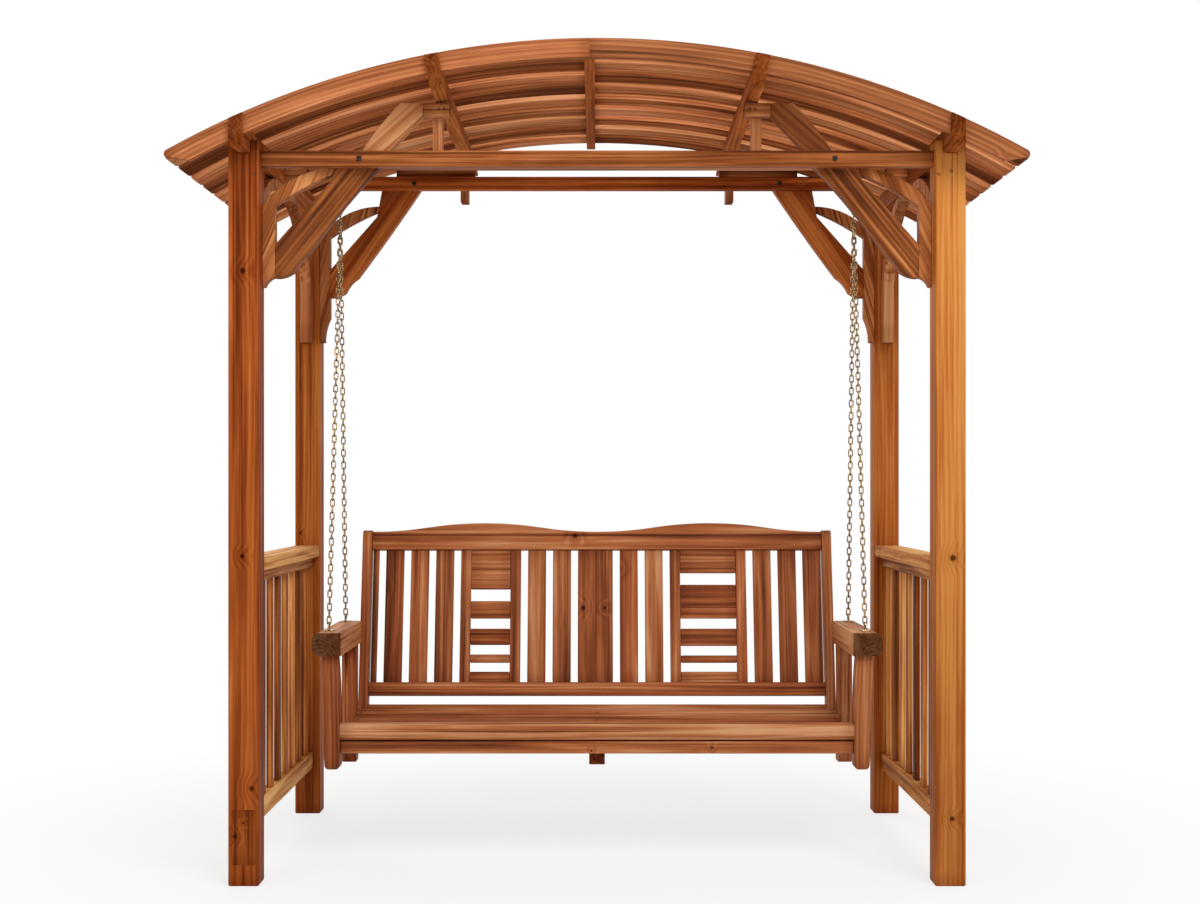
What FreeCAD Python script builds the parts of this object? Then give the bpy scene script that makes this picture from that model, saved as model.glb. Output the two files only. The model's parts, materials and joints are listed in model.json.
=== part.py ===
import FreeCAD, Part
import math
import os
import re

# Garden swing seat: a slatted timber bench hung on chains in a four-post frame with an arched slatted roof.
# Millimetres. X is to the right seen from the front, Y runs to the back, Z is up.
# The origin is on the ground at the middle of the frame.

doc = FreeCAD.newDocument("garden_swing_seat")
sheet = doc.addObject("Spreadsheet::Sheet", "sizes")

SIZES = {
    # posts
    "post_size": 80,
    "side_gap": 97,
    "frame_width": "=2 * (arm_inner + arm_width + side_gap + post_size)",
    "frame_depth": 1080,
    "post_height": 1952,
    "purlin_housing": 32,
    # arched roof
    "post_head_gap": 2,
    "arch_rise": 197,
    "arch_radius": "=(((frame_width - post_size) / 2)^2 + arch_rise^2) / (2 * arch_rise)",
    "purlin_arch": "=slat_arch - slat_seat_gap",
    "slat_arch": "=arch_radius - roof_slat_thickness",
    "arch_top": "=post_height + post_head_gap + arch_radius - sqrt(slat_arch^2 - (frame_width / 2)^2)",
    "eave_overhang": 142,
    "roof_span": "=frame_width + 2 * eave_overhang",
    "roof_overhang": 70.5,
    "roof_slat_count": 9,
    "roof_slat_width": 85,
    "roof_slat_thickness": 24,
    "roof_slat_pitch": "=(frame_depth + 2 * roof_overhang - roof_slat_width) / (roof_slat_count - 1)",
    "slat_seat_gap": 0.5,
    "fascia_height": 50,
    "fascia_nose": 12.5,
    "fascia_thickness": 20,
    "fascia_overlap": 8,
    "purlin_overhang": 15,
    "horn_drop": 3,
    "notch_clearance": 0.5,
    "eave_purlin_width": 35,
    "mid_purlin_width": 36,
    "mid_purlin_height": 65,
    "mid_purlin_inset": 499,
    "mid_purlin_offset": "=(frame_width - post_size) / 2 - mid_purlin_inset",
    "mid_purlin_tilt": "=asin(mid_purlin_offset / arch_radius)",
    "mid_purlin_foot": (
        "=arch_top - arch_radius + (purlin_arch - mid_purlin_height) * cos(mid_purlin_tilt)"
        " - mid_purlin_width / 2 * sin(mid_purlin_tilt)"),
    "ridge_batten_width": 28,
    "ridge_batten_thickness": 20,
    "ridge_batten_offset": -20,
    # beams, struts and ties
    "beam_thickness": 32,
    "beam_height": 42,
    "beam_setback": 20,
    "front_beam_drop": 23,
    "front_beam_top": "=post_height - front_beam_drop",
    "rear_beam_lap": 3,
    "rear_beam_top": "=tie_bottom + rear_beam_lap",
    "rear_beam_inset": 150,
    "rear_beam_length": "=frame_width - post_size - 2 * rear_beam_inset",
    "strut_thickness": 34,
    "strut_foot_drop": 354,
    "strut_foot": "=post_height - strut_foot_drop",
    "strut_heel": 88,
    "strut_ogee_run": 50,
    "strut_ogee_rise": 16,
    "strut_ogee_bow": 5,
    "strut_toe_run": 89,
    "strut_toe_rise": 62,
    "strut_waist_run": 170,
    "strut_waist_rise": 172,
    "strut_shoulder_run": 150,
    "strut_shoulder_rise": 258,
    "strut_head_start": 114,
    "strut_head_inner": "=mid_purlin_offset + strut_head_start",
    "strut_head_end": 254,
    "strut_head_outer": "=mid_purlin_offset + strut_head_end",
    "rear_strut_lift": 50,
    "strut_cap_drop": 4,
    "upper_strut_spread": 166,
    "upper_strut_foot": "=mid_purlin_offset + upper_strut_spread",
    "upper_strut_width": 71,
    "upper_strut_crown": 94,
    "upper_strut_bow": 5,
    "tie_height": 35,
    "tie_clearance": 3.3,
    "tie_bottom": "=mid_purlin_foot - tie_clearance - tie_height",
    "tie_inner_reach": 36,
    "tie_inner_end": "=mid_purlin_offset - tie_inner_reach",
    "front_tie_reach": 34,
    "front_tie_outer_end": "=mid_purlin_offset + front_tie_reach",
    "rear_tie_reach": 214,
    "rear_tie_outer_end": "=mid_purlin_offset + rear_tie_reach",
    "king_post_thickness": 25,
    "king_post_depth": 60,
    "king_post_tail": 28,
    "bolt_head": 12,
    "bolt_head_height": 5,
    "bolt_front_spread": 199,
    "bolt_front_offset": "=mid_purlin_offset + bolt_front_spread",
    "bolt_rear_spread": 154,
    "bolt_rear_offset": "=mid_purlin_offset + bolt_rear_spread",
    # braces on the side frames
    "brace_thickness": 34,
    "brace_width": 48,
    "knee_foot_drop": 451,
    "knee_foot": "=post_height - knee_foot_drop",
    "knee_bend_drop": 262,
    "knee_bend": "=post_height - knee_bend_drop",
    "knee_tip": 90,
    "knee_bow": 60,
    "hanger_thickness": 33,
    "hanger_bend": 191,
    "hanger_end_top": 291,
    "hanger_end_bottom": 274,
    "hanger_end_clearance": 0.3,
    "hanger_top_bow": 26,
    "hanger_under_bow": 5,
    "front_hanger_tail": 24,
    "front_hanger_toe": 5,
    "front_hanger_curve": 26,
    "rear_hanger_tail": 143,
    "rear_hanger_toe": 16,
    "rear_hanger_curve": 78,
    "hanger_foot_bow": 5,
    "swing_beam_rise": 22,
    "swing_beam_bottom": "=post_height + swing_beam_rise",
    "swing_beam_height": 42,
    "swing_beam_depth": 45,
    "cleat_bearing": 40,
    "cleat_height": 40,
    # side panels
    "cap_top": 857,
    "cap_thickness": 35,
    "cap_width": 76,
    "sub_rail_thickness": 32,
    "side_rail_width": 34,
    "side_rail_bottom": 145,
    "side_rail_height": 52,
    "side_slat_count": 8,
    "side_slat_width": 40,
    "side_slat_thickness": 14,
    # hooks, rings and chains
    "chain_inset": 44,
    "chain_offset": "=arm_inner + chain_inset",
    "hook_wire": 6,
    "hook_bend": 9,
    "hook_flat": 6,
    "hook_drop": 30,
    "hook_tip": 10,
    "pivot_clearance": 0.4,
    "ring_drop": 153,
    "ring_height": "=swing_beam_bottom - hook_drop - ring_drop",
    "ring_bore": 18,
    "ring_wire": 5,
    "ring_sides": 20,
    "ring_leg_angle": 18,
    "ring_seat": 0.6,
    "link_wire": 4,
    "link_bore_clearance": 0.6,
    "link_bore": "=hook_wire + link_bore_clearance",
    "link_pitch": 18.4,
    "link_clearance": 0.25,
    "upper_link_count": 8,
    "eye_bore": 6,
    "eye_sides": 12,
    "eye_rim": 4,
    "eye_thickness": 5,
    "eye_rise": 12,
    "eye_seat": 0.7,
    "eye_plate_length": 40,
    "eye_plate_width": 28,
    "eye_plate_thickness": 3,
    "front_eye_set": 40,
    "front_eye_y": "=front_leg_y + front_eye_set",
    "rear_eye_set": 30,
    "rear_eye_y": "=rear_leg_y + rear_eye_set",
    # bench side frames
    "leg_inner": 713,
    "leg_width": 42,
    "arm_overhang": 5,
    "arm_inner": "=leg_inner - arm_overhang",
    "arm_width": 80,
    "arm_top": 641,
    "arm_height": 64,
    "arm_front_overhang": 38,
    "arm_front": "=front_leg_y - arm_front_overhang",
    "arm_round": 20,
    "front_leg_y": -251,
    "front_leg_depth": 48,
    "front_leg_foot": 262,
    "rear_leg_y": 81,
    "rear_leg_depth": 52,
    "rear_leg_foot": 230,
    "leg_sway": 7,
    "leg_outer_bow": 3.5,
    "leg_inner_bow": 1.8,
    "foot_round": 12,
    # bench back, in the plane of its lean
    "back_y": 119,
    "back_z": 400,
    "back_lean": 12,
    "back_post_width": 28,
    "back_post_depth": 44,
    "back_post_top": 522,
    "back_post_tail": 105,
    "top_rail_bottom": 461,
    "top_rail_end": 516,
    "top_rail_crest": 543,
    "back_rail_thickness": 30,
    "bottom_rail_bottom": 18,
    "bottom_rail_height": 40,
    "back_slat_thickness": 14,
    "back_slat_width": 55,
    "panel_stile_width": 32,
    "end_strip_width": 18,
    "centre_board_width": 53,
    "left_panel_width": 183,
    "right_panel_width": 232,
    "back_slat_count": 10,
    "back_end_gap": 4,
    "back_filled": (
        "=end_strip_width + back_slat_count * back_slat_width + 2 * centre_board_width"
        " + left_panel_width + right_panel_width"),
    "back_gap": "=(2 * (leg_inner - back_post_width - back_end_gap) - back_filled) / (back_slat_count + 3)",
    "left_gap_one": 90,
    "left_gap_two": 142,
    "left_gap_three": 220,
    "left_gap_four": 304,
    "right_gap_one": 90,
    "right_gap_two": 139,
    "right_gap_three": 220,
    "right_gap_four": 354,
    "panel_gap_one": 27,
    "panel_gap_two": 29,
    "panel_gap_three": 31,
    "panel_gap_four": 36,
    "rear_seat_rail_top": -9,
    "rear_seat_rail_height": 42,
    # seat
    "seat_dip": 30,
    "seat_bearer_width": 28,
    "seat_bearer_bottom": 300,
    "seat_bearer_top": 366,
    "seat_bearer_set": 12,
    "seat_bearer_front": "=front_leg_y + seat_bearer_set",
    "centre_bearer_width": 44,
    "centre_bearer_bottom": 270,
    "seat_slat_count": 6,
    "seat_slat_width": 50,
    "seat_slat_thickness": 20,
    "seat_slat_lift": 0.3,
    "nose_depth": 34,
    "nose_height": 47,
    "nose_round": 15,
    "nose_top": 389,
    "apron_height": 34,
    "apron_gap": 4,
    "apron_thickness": 24,
}

for row, alias in enumerate(SIZES, start=1):
    sheet.set("A%d" % row, alias)
    sheet.setAlias("B%d" % row, alias)
for alias, value in SIZES.items():
    sheet.set(alias, str(value))
doc.recompute()


def val(alias):
    """A size, read from the sheet."""
    size = sheet.get(alias)
    return float(getattr(size, "Value", size))


def bind(obj, prop, expression):
    """Tie a property to the sheet: the size names in the expression are the sheet's aliases."""
    def linked(word):
        return "sizes." + word.group() if word.group() in SIZES else word.group()
    obj.setExpression(prop, re.sub(r"[a-z][a-z_]*", linked, expression))


def place(obj, x="0", y="0", z="0"):
    """Put an object's own origin at a point given by sheet expressions."""
    for axis, expression in (("x", x), ("y", y), ("z", z)):
        bind(obj, "Placement.Base." + axis, expression)


NODES = []


def node(obj):
    """Mark an object as a piece of the product that is written to its own file."""
    NODES.append(obj)
    return obj


def board(label, length, width, height, x, y, z):
    """A square-edged board: its sizes along X, Y and Z, and its lowest corner."""
    box = doc.addObject("Part::Box", label)
    bind(box, "Length", length)
    bind(box, "Width", width)
    bind(box, "Height", height)
    place(box, x, y, z)
    return box


def edges_of(start, steps):
    """Sketch edges from a start point: a point is a straight edge, (through, end) an arc, a list a curve."""
    edges = []
    here = FreeCAD.Vector(*start, 0)
    for step in steps:
        if isinstance(step, list):
            points = [here] + [FreeCAD.Vector(*p, 0) for p in step]
            curve = Part.BSplineCurve()
            curve.interpolate(points)
            edges.append(curve)
            here = points[-1]
        elif isinstance(step[0], tuple):
            through, end = (FreeCAD.Vector(*p, 0) for p in step)
            edges.append(Part.Arc(here, through, end))
            here = end
        else:
            end = FreeCAD.Vector(*step, 0)
            edges.append(Part.LineSegment(here, end))
            here = end
    return edges


def shaped(label, plane, start, steps, thickness):
    """A piece sawn to an outline from a board of even thickness, which lies astride the outline's plane."""
    body = doc.addObject("PartDesign::Body", label)
    sketch = body.newObject("Sketcher::SketchObject", label + "_outline")
    origin_plane = [f for f in body.Origin.OriginFeatures if f.Role == plane + "_Plane"][0]
    sketch.AttachmentSupport = (origin_plane, [""])
    sketch.MapMode = "FlatFace"
    sketch.addGeometry(edges_of(start, steps), False)
    pad = body.newObject("PartDesign::Pad", label + "_board")
    pad.Profile = sketch
    pad.Midplane = True
    bind(pad, "Length", thickness)
    return body


def rounded(body, radius, chosen):
    """Round the edges of a body's last feature that the chosen test picks."""
    doc.recompute()
    tip = body.Tip
    names = ["Edge%d" % i for i, edge in enumerate(tip.Shape.Edges, start=1) if chosen(edge)]
    fillet = body.newObject("PartDesign::Fillet", body.Name + "_round")
    fillet.Base = (tip, names)
    bind(fillet, "Radius", radius)
    return body


def mirrored(label, source, normal=(1, 0, 0)):
    """The mirror image of a piece across the middle of the frame."""
    copy = doc.addObject("Part::Mirroring", label)
    copy.Source = source
    copy.Normal = FreeCAD.Vector(*normal)
    return copy


def group(label, members):
    """Like pieces kept together under one name, each still a solid of its own."""
    bundle = doc.addObject("Part::Compound", label)
    bundle.Links = members
    return node(bundle)


def cut(label, base, tool):
    """A piece with a housing or notch taken out of it."""
    result = doc.addObject("Part::Cut", label)
    result.Base = base
    result.Tool = tool
    return result


SIDES = (("left", -1), ("right", 1))
ENDS = (("front", -1), ("rear", 1))

half_width = val("frame_width") / 2
half_depth = val("frame_depth") / 2
post_inner_x = half_width - val("post_size")
post_inner_y = half_depth - val("post_size")
side_x = half_width - val("post_size") / 2
arch_centre = val("arch_top") - val("arch_radius")
slat_under = val("slat_arch")
purlin_top = val("purlin_arch")
horn_top = val("arch_radius") - val("horn_drop")


def arch_z(x, radius):
    """Height of the arch of that radius above a point at x."""
    return arch_centre + math.sqrt(radius * radius - x * x)


def arch_point(radius, angle):
    """A point on the arch, its angle in radians from the top, to the right."""
    return (radius * math.sin(angle), arch_centre + radius * math.cos(angle))


def bowed(start, end, rise):
    """An arc step from start to end, its middle moved to the left of the way by the rise."""
    along = FreeCAD.Vector(end[0] - start[0], end[1] - start[1], 0).normalize()
    middle = ((start[0] + end[0]) / 2 - along.y * rise, (start[1] + end[1]) / 2 + along.x * rise)
    return (middle, end)


def quarter_round(start, end, turn):
    """An arc step of a quarter circle that bulges to the left of the way (turn 1) or to the right (-1)."""
    chord = math.hypot(end[0] - start[0], end[1] - start[1])
    return bowed(start, end, turn * chord * (math.sqrt(2) - 1) / 2)


def in_row(body, axis, count, length):
    """Repeat a body's piece at even steps along an axis, centred on the body's origin."""
    body.AllowCompound = True
    piece = body.Tip
    row = body.newObject("PartDesign::LinearPattern", body.Name + "_row")
    row.Originals = [piece]
    row.Direction = ([f for f in body.Origin.OriginFeatures if f.Role == axis + "_Axis"][0], [""])
    bind(row, "Length", length)
    bind(row, "Occurrences", count)
    body.Tip = row
    bind(body, "Placement.Base." + axis.lower(), "-(%s) / 2" % length)
    return body


# Posts: square timbers, each with a housing across its top for the eave purlin.

for end, sy in ENDS:
    for side, sx in SIDES:
        name = "post_%s_%s" % (end, side)
        timber = board(
            name + "_timber", "post_size", "post_size", "post_height",
            "%d * (frame_width - post_size) / 2 - post_size / 2" % sx,
            "%d * (frame_depth - post_size) / 2 - post_size / 2" % sy,
            "0")
        housing = board(
            name + "_housing", "eave_purlin_width", "post_size", "purlin_housing",
            "%d * (frame_width - post_size) / 2 - eave_purlin_width / 2" % sx,
            "%d * (frame_depth - post_size) / 2 - post_size / 2" % sy,
            "post_height - purlin_housing")
        node(cut(name, timber, housing))

# Purlins: four timbers from front to back that carry the roof slats, and a batten under the slats' joints.
# In front of the fascia each purlin's end stands up as a horn, nearly to the roof's outline.

roof_length = "((roof_slat_count - 1) * roof_slat_pitch + roof_slat_width)"
purlin_length = "(%s + 2 * fascia_thickness + 2 * purlin_overhang)" % roof_length


def fused(label, base, tool):
    """Two parts of one piece, joined into a single solid."""
    result = doc.addObject("Part::Fuse", label)
    result.Base = base
    result.Tool = tool
    result.Refine = True
    return result


def eave_purlin(label, sx, crown, grow, length):
    """An eave purlin in the post tops, its upper side sawn to the arch, or the notch that it needs."""
    near = sx * side_x - val("eave_purlin_width") / 2 - grow
    far = sx * side_x + val("eave_purlin_width") / 2 + grow
    bottom = val("post_height") - val("purlin_housing") - grow
    middle = (near + far) / 2
    return shaped(label, "XZ", (near, bottom), [
        (far, bottom),
        (far, arch_z(far, crown + grow)),
        ((middle, arch_z(middle, crown + grow)), (near, arch_z(near, crown + grow))),
        (near, bottom),
    ], length)


def under_slats(label, width, thickness, offset, y, length, grow="0"):
    """A straight board square to the arch, its top just under the roof slats, or the notch that it needs."""
    turn = "asin((%s) / arch_radius)" % offset
    foot = "(purlin_arch - (%s) - %s)" % (thickness, grow)
    wide = "(%s + 2 * %s)" % (width, grow)
    box = doc.addObject("Part::Box", label)
    bind(box, "Length", wide)
    bind(box, "Width", length)
    bind(box, "Height", "%s + 2 * %s" % (thickness, grow))
    box.Placement.Rotation = FreeCAD.Rotation(FreeCAD.Vector(0, 1, 0), 1)
    bind(box, "Placement.Rotation.Angle", turn)
    place(
        box,
        "%s * sin(%s) - %s / 2 * cos(%s)" % (foot, turn, wide, turn),
        y,
        "arch_top - arch_radius + %s * cos(%s) + %s / 2 * sin(%s)" % (foot, turn, wide, turn))
    return box


horn_height = "mid_purlin_height + roof_slat_thickness + slat_seat_gap - horn_drop"
for side, sx in SIDES:
    eave_length = eave_purlin("eave_length_" + side, sx, purlin_top, 0, purlin_length)
    eave_horn = eave_purlin("eave_horn_" + side, sx, horn_top, 0, "purlin_overhang")
    place(eave_horn, y="(purlin_overhang - %s) / 2" % purlin_length)
    node(fused("eave_purlin_" + side, eave_length, eave_horn))
    mid_length = under_slats(
        "mid_length_" + side, "mid_purlin_width", "mid_purlin_height", "%d * mid_purlin_offset" % sx,
        "-%s / 2" % purlin_length, purlin_length)
    mid_horn = under_slats(
        "mid_horn_" + side, "mid_purlin_width", "mid_purlin_height", "%d * mid_purlin_offset" % sx,
        "-%s / 2" % purlin_length, "purlin_overhang")
    bind(mid_horn, "Height", horn_height)
    node(fused("mid_purlin_" + side, mid_length, mid_horn))

node(under_slats(
    "ridge_batten", "ridge_batten_width", "ridge_batten_thickness", "ridge_batten_offset",
    "-%s / 2" % roof_length, roof_length))

# Roof slats: thin laths bent over the purlins, each in two lengths that meet on the ridge batten.

ridge_angle = math.asin(val("ridge_batten_offset") / val("arch_radius"))
eave_angle = math.asin(val("roof_span") / 2 / val("arch_radius"))


def roof_slats(label, outer_angle):
    """One half of every roof slat, from the ridge batten out to a rounded end."""
    thickness = val("roof_slat_thickness")
    outside = val("arch_radius")
    half = thickness / 2
    middle = (ridge_angle + outer_angle) / 2
    nose = []
    for turn in (math.pi / 4, math.pi / 2, 3 * math.pi / 4):
        beyond = math.copysign(half * math.sin(turn) / outside, outer_angle)
        nose.append(arch_point(outside - half + half * math.cos(turn), outer_angle + beyond))
    body = shaped(label, "XZ", arch_point(outside, ridge_angle), [
        (arch_point(outside, middle), arch_point(outside, outer_angle)),
        *nose,
        arch_point(slat_under, outer_angle),
        (arch_point(slat_under, middle), arch_point(slat_under, ridge_angle)),
        arch_point(outside, ridge_angle),
    ], "roof_slat_width")
    return in_row(body, "Y", "roof_slat_count", "(roof_slat_count - 1) * roof_slat_pitch")


node(roof_slats("roof_slats_left", -eave_angle))
node(roof_slats("roof_slats_right", eave_angle))

# Fascia: a deeper curved board in two halves across the front of the slats, notched over the purlins.

fascia_angle = math.asin((val("roof_span") / 2 + val("fascia_overlap")) / val("arch_radius"))


def fascia_half(side, sx):
    """Half of the fascia, its outer end tapered up from below and rounded."""
    outside = val("arch_radius")
    inside = outside - val("fascia_height")
    end = sx * fascia_angle
    taper = end - sx * val("fascia_height") / outside
    nose = val("fascia_nose")
    name = "fascia_" + side
    middle = (ridge_angle + end) / 2
    shoulder = arch_point(outside, end - sx * nose / outside)
    blank = shaped(name + "_blank", "XZ", arch_point(outside, ridge_angle), [
        (arch_point(outside, middle), shoulder),
        quarter_round(shoulder, arch_point(outside - nose, end), sx),
        arch_point(inside, taper),
        (arch_point(inside, middle), arch_point(inside, ridge_angle)),
        arch_point(outside, ridge_angle),
    ], "fascia_thickness")
    fascia_middle = "-(%s + fascia_thickness) / 2" % roof_length
    place(blank, y=fascia_middle)
    eave = eave_purlin(name + "_eave_notch", sx, purlin_top, val("notch_clearance"), "3 * fascia_thickness")
    place(eave, y=fascia_middle)
    mid = under_slats(
        name + "_mid_notch", "mid_purlin_width", "mid_purlin_height", "%d * mid_purlin_offset" % sx,
        "-%s / 2 - 2 * fascia_thickness" % roof_length,
        "3 * fascia_thickness", "notch_clearance")
    return cut(name, cut(name + "_over_eave", blank, eave), mid)


for side, sx in SIDES:
    node(fascia_half(side, sx))

# Beams across the front and the back, and the beam at mid-depth that carries the swing.

strut_plane = "(frame_depth / 2 - beam_setback - beam_thickness - strut_thickness / 2)"

node(board(
    "front_beam", "frame_width - 2 * post_size", "beam_thickness", "beam_height",
    "post_size - frame_width / 2",
    "beam_setback - frame_depth / 2",
    "front_beam_top - beam_height"))

node(board(
    "rear_beam", "rear_beam_length", "beam_thickness", "beam_height",
    "-rear_beam_length / 2",
    strut_plane + " - strut_thickness / 2 - beam_thickness",
    "rear_beam_top - beam_height"))


beam_foot = val("swing_beam_bottom")
beam_crown = beam_foot + val("swing_beam_height")
shoulder = math.sqrt(purlin_top ** 2 - (beam_crown - arch_centre) ** 2)
beam_end = arch_z(post_inner_x, purlin_top)
node(shaped("swing_beam", "XZ", (-post_inner_x, beam_foot), [
    (post_inner_x, beam_foot),
    (post_inner_x, beam_end),
    (shoulder, beam_crown),
    (-shoulder, beam_crown),
    (-post_inner_x, beam_end),
    (-post_inner_x, beam_foot),
], "swing_beam_depth"))

# Struts: shaped diagonal braces from the posts up behind the beams, with an ogee foot and a flared head.

strut_start = post_inner_x - val("hanger_thickness")


def strut(label, sx, lift, head):
    """A strut whose foot stands on the hanger's leg, cut level at its head."""
    def at(run, rise):
        return (sx * (strut_start - run), val("strut_foot") + lift + rise)
    heel = at(0, val("strut_heel"))
    foot = at(0, 0)
    ogee = at(val("strut_ogee_run"), val("strut_ogee_rise"))
    toe = at(val("strut_toe_run"), val("strut_toe_rise"))
    waist = at(val("strut_waist_run"), val("strut_waist_rise"))
    inner = (sx * val("strut_head_inner"), head)
    outer = (sx * val("strut_head_outer"), head)
    return shaped(label, "XZ", foot, [
        bowed(foot, ogee, sx * val("strut_ogee_bow")),
        bowed(ogee, toe, -sx * val("strut_ogee_bow")),
        (waist, inner),
        outer,
        at(val("strut_shoulder_run"), val("strut_shoulder_rise")),
        heel,
        foot,
    ], "strut_thickness")


for side, sx in SIDES:
    front = node(strut("strut_front_" + side, sx, 0, val("front_beam_top") - val("strut_cap_drop")))
    place(front, y="-" + strut_plane)
    rear = node(strut("strut_rear_" + side, sx, val("rear_strut_lift"), val("tie_bottom")))
    place(rear, y=strut_plane)

# Ties, upper struts and king posts: the short pieces that join the struts to the mid purlins.


def upper_strut(sx):
    """The short strut over the front beam, its bowed head level with the tie that butts on it."""
    foot = val("front_beam_top") - val("strut_cap_drop")
    near = sx * (val("upper_strut_foot") - val("upper_strut_width") / 2)
    far = sx * (val("upper_strut_foot") + val("upper_strut_width") / 2)
    tie_end = sx * val("front_tie_outer_end")
    crown = sx * (val("mid_purlin_offset") + val("upper_strut_crown"))
    top = val("tie_bottom") + val("tie_height")
    return shaped("upper_strut_%d" % sx, "XZ", (far, foot), [
        (near, foot),
        (tie_end, val("tie_bottom")),
        (tie_end, top),
        (crown, top),
        bowed((crown, top), (far, foot), sx * val("upper_strut_bow")),
    ], "strut_thickness")


upper_struts = []
ties = []
king_posts = []
for side, sx in SIDES:
    short = upper_strut(sx)
    place(short, y="-" + strut_plane)
    upper_struts.append(short)
    for end, sy in ENDS:
        outer_end = end + "_tie_outer_end"
        ties.append(board(
            "tie_%s_%s" % (end, side), outer_end + " - tie_inner_end", "strut_thickness", "tie_height",
            "-" + outer_end if sx < 0 else "tie_inner_end",
            "%d * %s - strut_thickness / 2" % (sy, strut_plane),
            "tie_bottom"))
        king_foot = "front_beam_top - beam_height / 2"
        if end == "rear":
            king_foot = "rear_beam_top - beam_height - king_post_tail"
        king_posts.append(board(
            "king_post_%s_%s" % (end, side), "king_post_thickness", "king_post_depth",
            "mid_purlin_foot - (%s)" % king_foot,
            "%d * mid_purlin_offset - king_post_thickness / 2" % sx,
            "%d * %s + strut_thickness / 2" % (sy, strut_plane),
            king_foot))
group("upper_struts", upper_struts)
group("ties", ties)
group("king_posts", king_posts)

# Coach bolts: square heads where the struts cross the beams.

bolts = []
for side, sx in SIDES:
    bolts.append(board(
        "bolt_front_" + side, "bolt_head", "bolt_head_height", "bolt_head",
        "%d * bolt_front_offset - bolt_head / 2" % sx,
        "beam_setback - frame_depth / 2 - bolt_head_height",
        "front_beam_top - beam_height / 2 - bolt_head / 2"))
    bolts.append(board(
        "bolt_rear_" + side, "bolt_head", "bolt_head_height", "bolt_head",
        "%d * bolt_rear_offset - bolt_head / 2" % sx,
        strut_plane + " - strut_thickness / 2 - beam_thickness - bolt_head_height",
        "rear_beam_top - beam_height / 2 - bolt_head / 2"))
group("coach_bolts", bolts)

# Knee braces from the posts to the eave purlins, curved brackets from the posts to the struts' shoulders,
# and a cleat on each eave purlin that carries the end of the swing beam.


def knee_brace(label):
    """A bent brace in the side frame, from a post's inner face up to the underside of the eave purlin."""
    face = post_inner_y
    width = val("brace_width")
    top = val("post_height") - val("purlin_housing")
    foot = val("knee_foot")
    bend = val("knee_bend")
    tip = val("knee_tip")
    spring = (face, bend)
    inner_spring = (face - width, bend)
    return shaped(label, "YZ", (face, foot), [
        spring,
        bowed(spring, (tip + width, top), -val("knee_bow")),
        (tip, top),
        (tip, top - width / 2),
        bowed((tip, top - width / 2), inner_spring, val("knee_bow")),
        (face - width, foot),
        (face, foot),
    ], "brace_thickness")


def hanger(label, sx, end, lift, head):
    """A curved bracket in the strut's plane: a leg on the post's side and an arm to the strut's shoulder."""
    base = val("strut_foot") + lift
    shoulder_x = strut_start - val("strut_shoulder_run")
    shoulder_z = base + val("strut_shoulder_rise")
    slope = (val("strut_head_outer") - shoulder_x) / (head - shoulder_z)

    def on_strut(rise):
        edge = shoulder_x + slope * (base + rise - shoulder_z)
        return (sx * (edge + val("hanger_end_clearance")), base + rise)

    back = sx * post_inner_x
    face = sx * strut_start
    foot = base - val(end + "_hanger_tail")
    bend = base + val("hanger_bend")
    upper = on_strut(val("hanger_end_top"))
    lower = on_strut(val("hanger_end_bottom"))
    heel = (face, foot + val(end + "_hanger_curve"))
    toe = (back - sx * val(end + "_hanger_toe"), foot)
    return shaped(label, "XZ", (back, foot), [
        (back, bend),
        bowed((back, bend), upper, -sx * val("hanger_top_bow")),
        lower,
        bowed(lower, (face, bend), sx * val("hanger_under_bow")),
        heel,
        bowed(heel, toe, sx * val("hanger_foot_bow")),
        (back, foot),
    ], "strut_thickness")


purlin_face = "(frame_width / 2 - post_size / 2 - eave_purlin_width / 2)"
cleat_end = "(frame_width / 2 - post_size - cleat_bearing)"
for side, sx in SIDES:
    knee = knee_brace("knee_rear_" + side)
    place(knee, x="%d * (frame_width - post_size) / 2" % sx)
    group("knee_braces_" + side, [knee, mirrored("knee_front_" + side, knee, (0, 1, 0))])
    front = hanger("hanger_front_" + side, sx, "front", 0, val("front_beam_top") - val("strut_cap_drop"))
    place(front, y="-" + strut_plane)
    rear = hanger("hanger_rear_" + side, sx, "rear", val("rear_strut_lift"), val("tie_bottom"))
    place(rear, y=strut_plane)
    cleat = board(
        "cleat_" + side, "%s - %s" % (purlin_face, cleat_end), "swing_beam_depth", "cleat_height",
        cleat_end if sx > 0 else "-" + purlin_face,
        "-swing_beam_depth / 2",
        "swing_beam_bottom - cleat_height")
    group("hangers_" + side, [front, rear, cleat])

# Side panels: a broad cap on a top rail, a bottom rail and upright slats between the posts.

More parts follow.
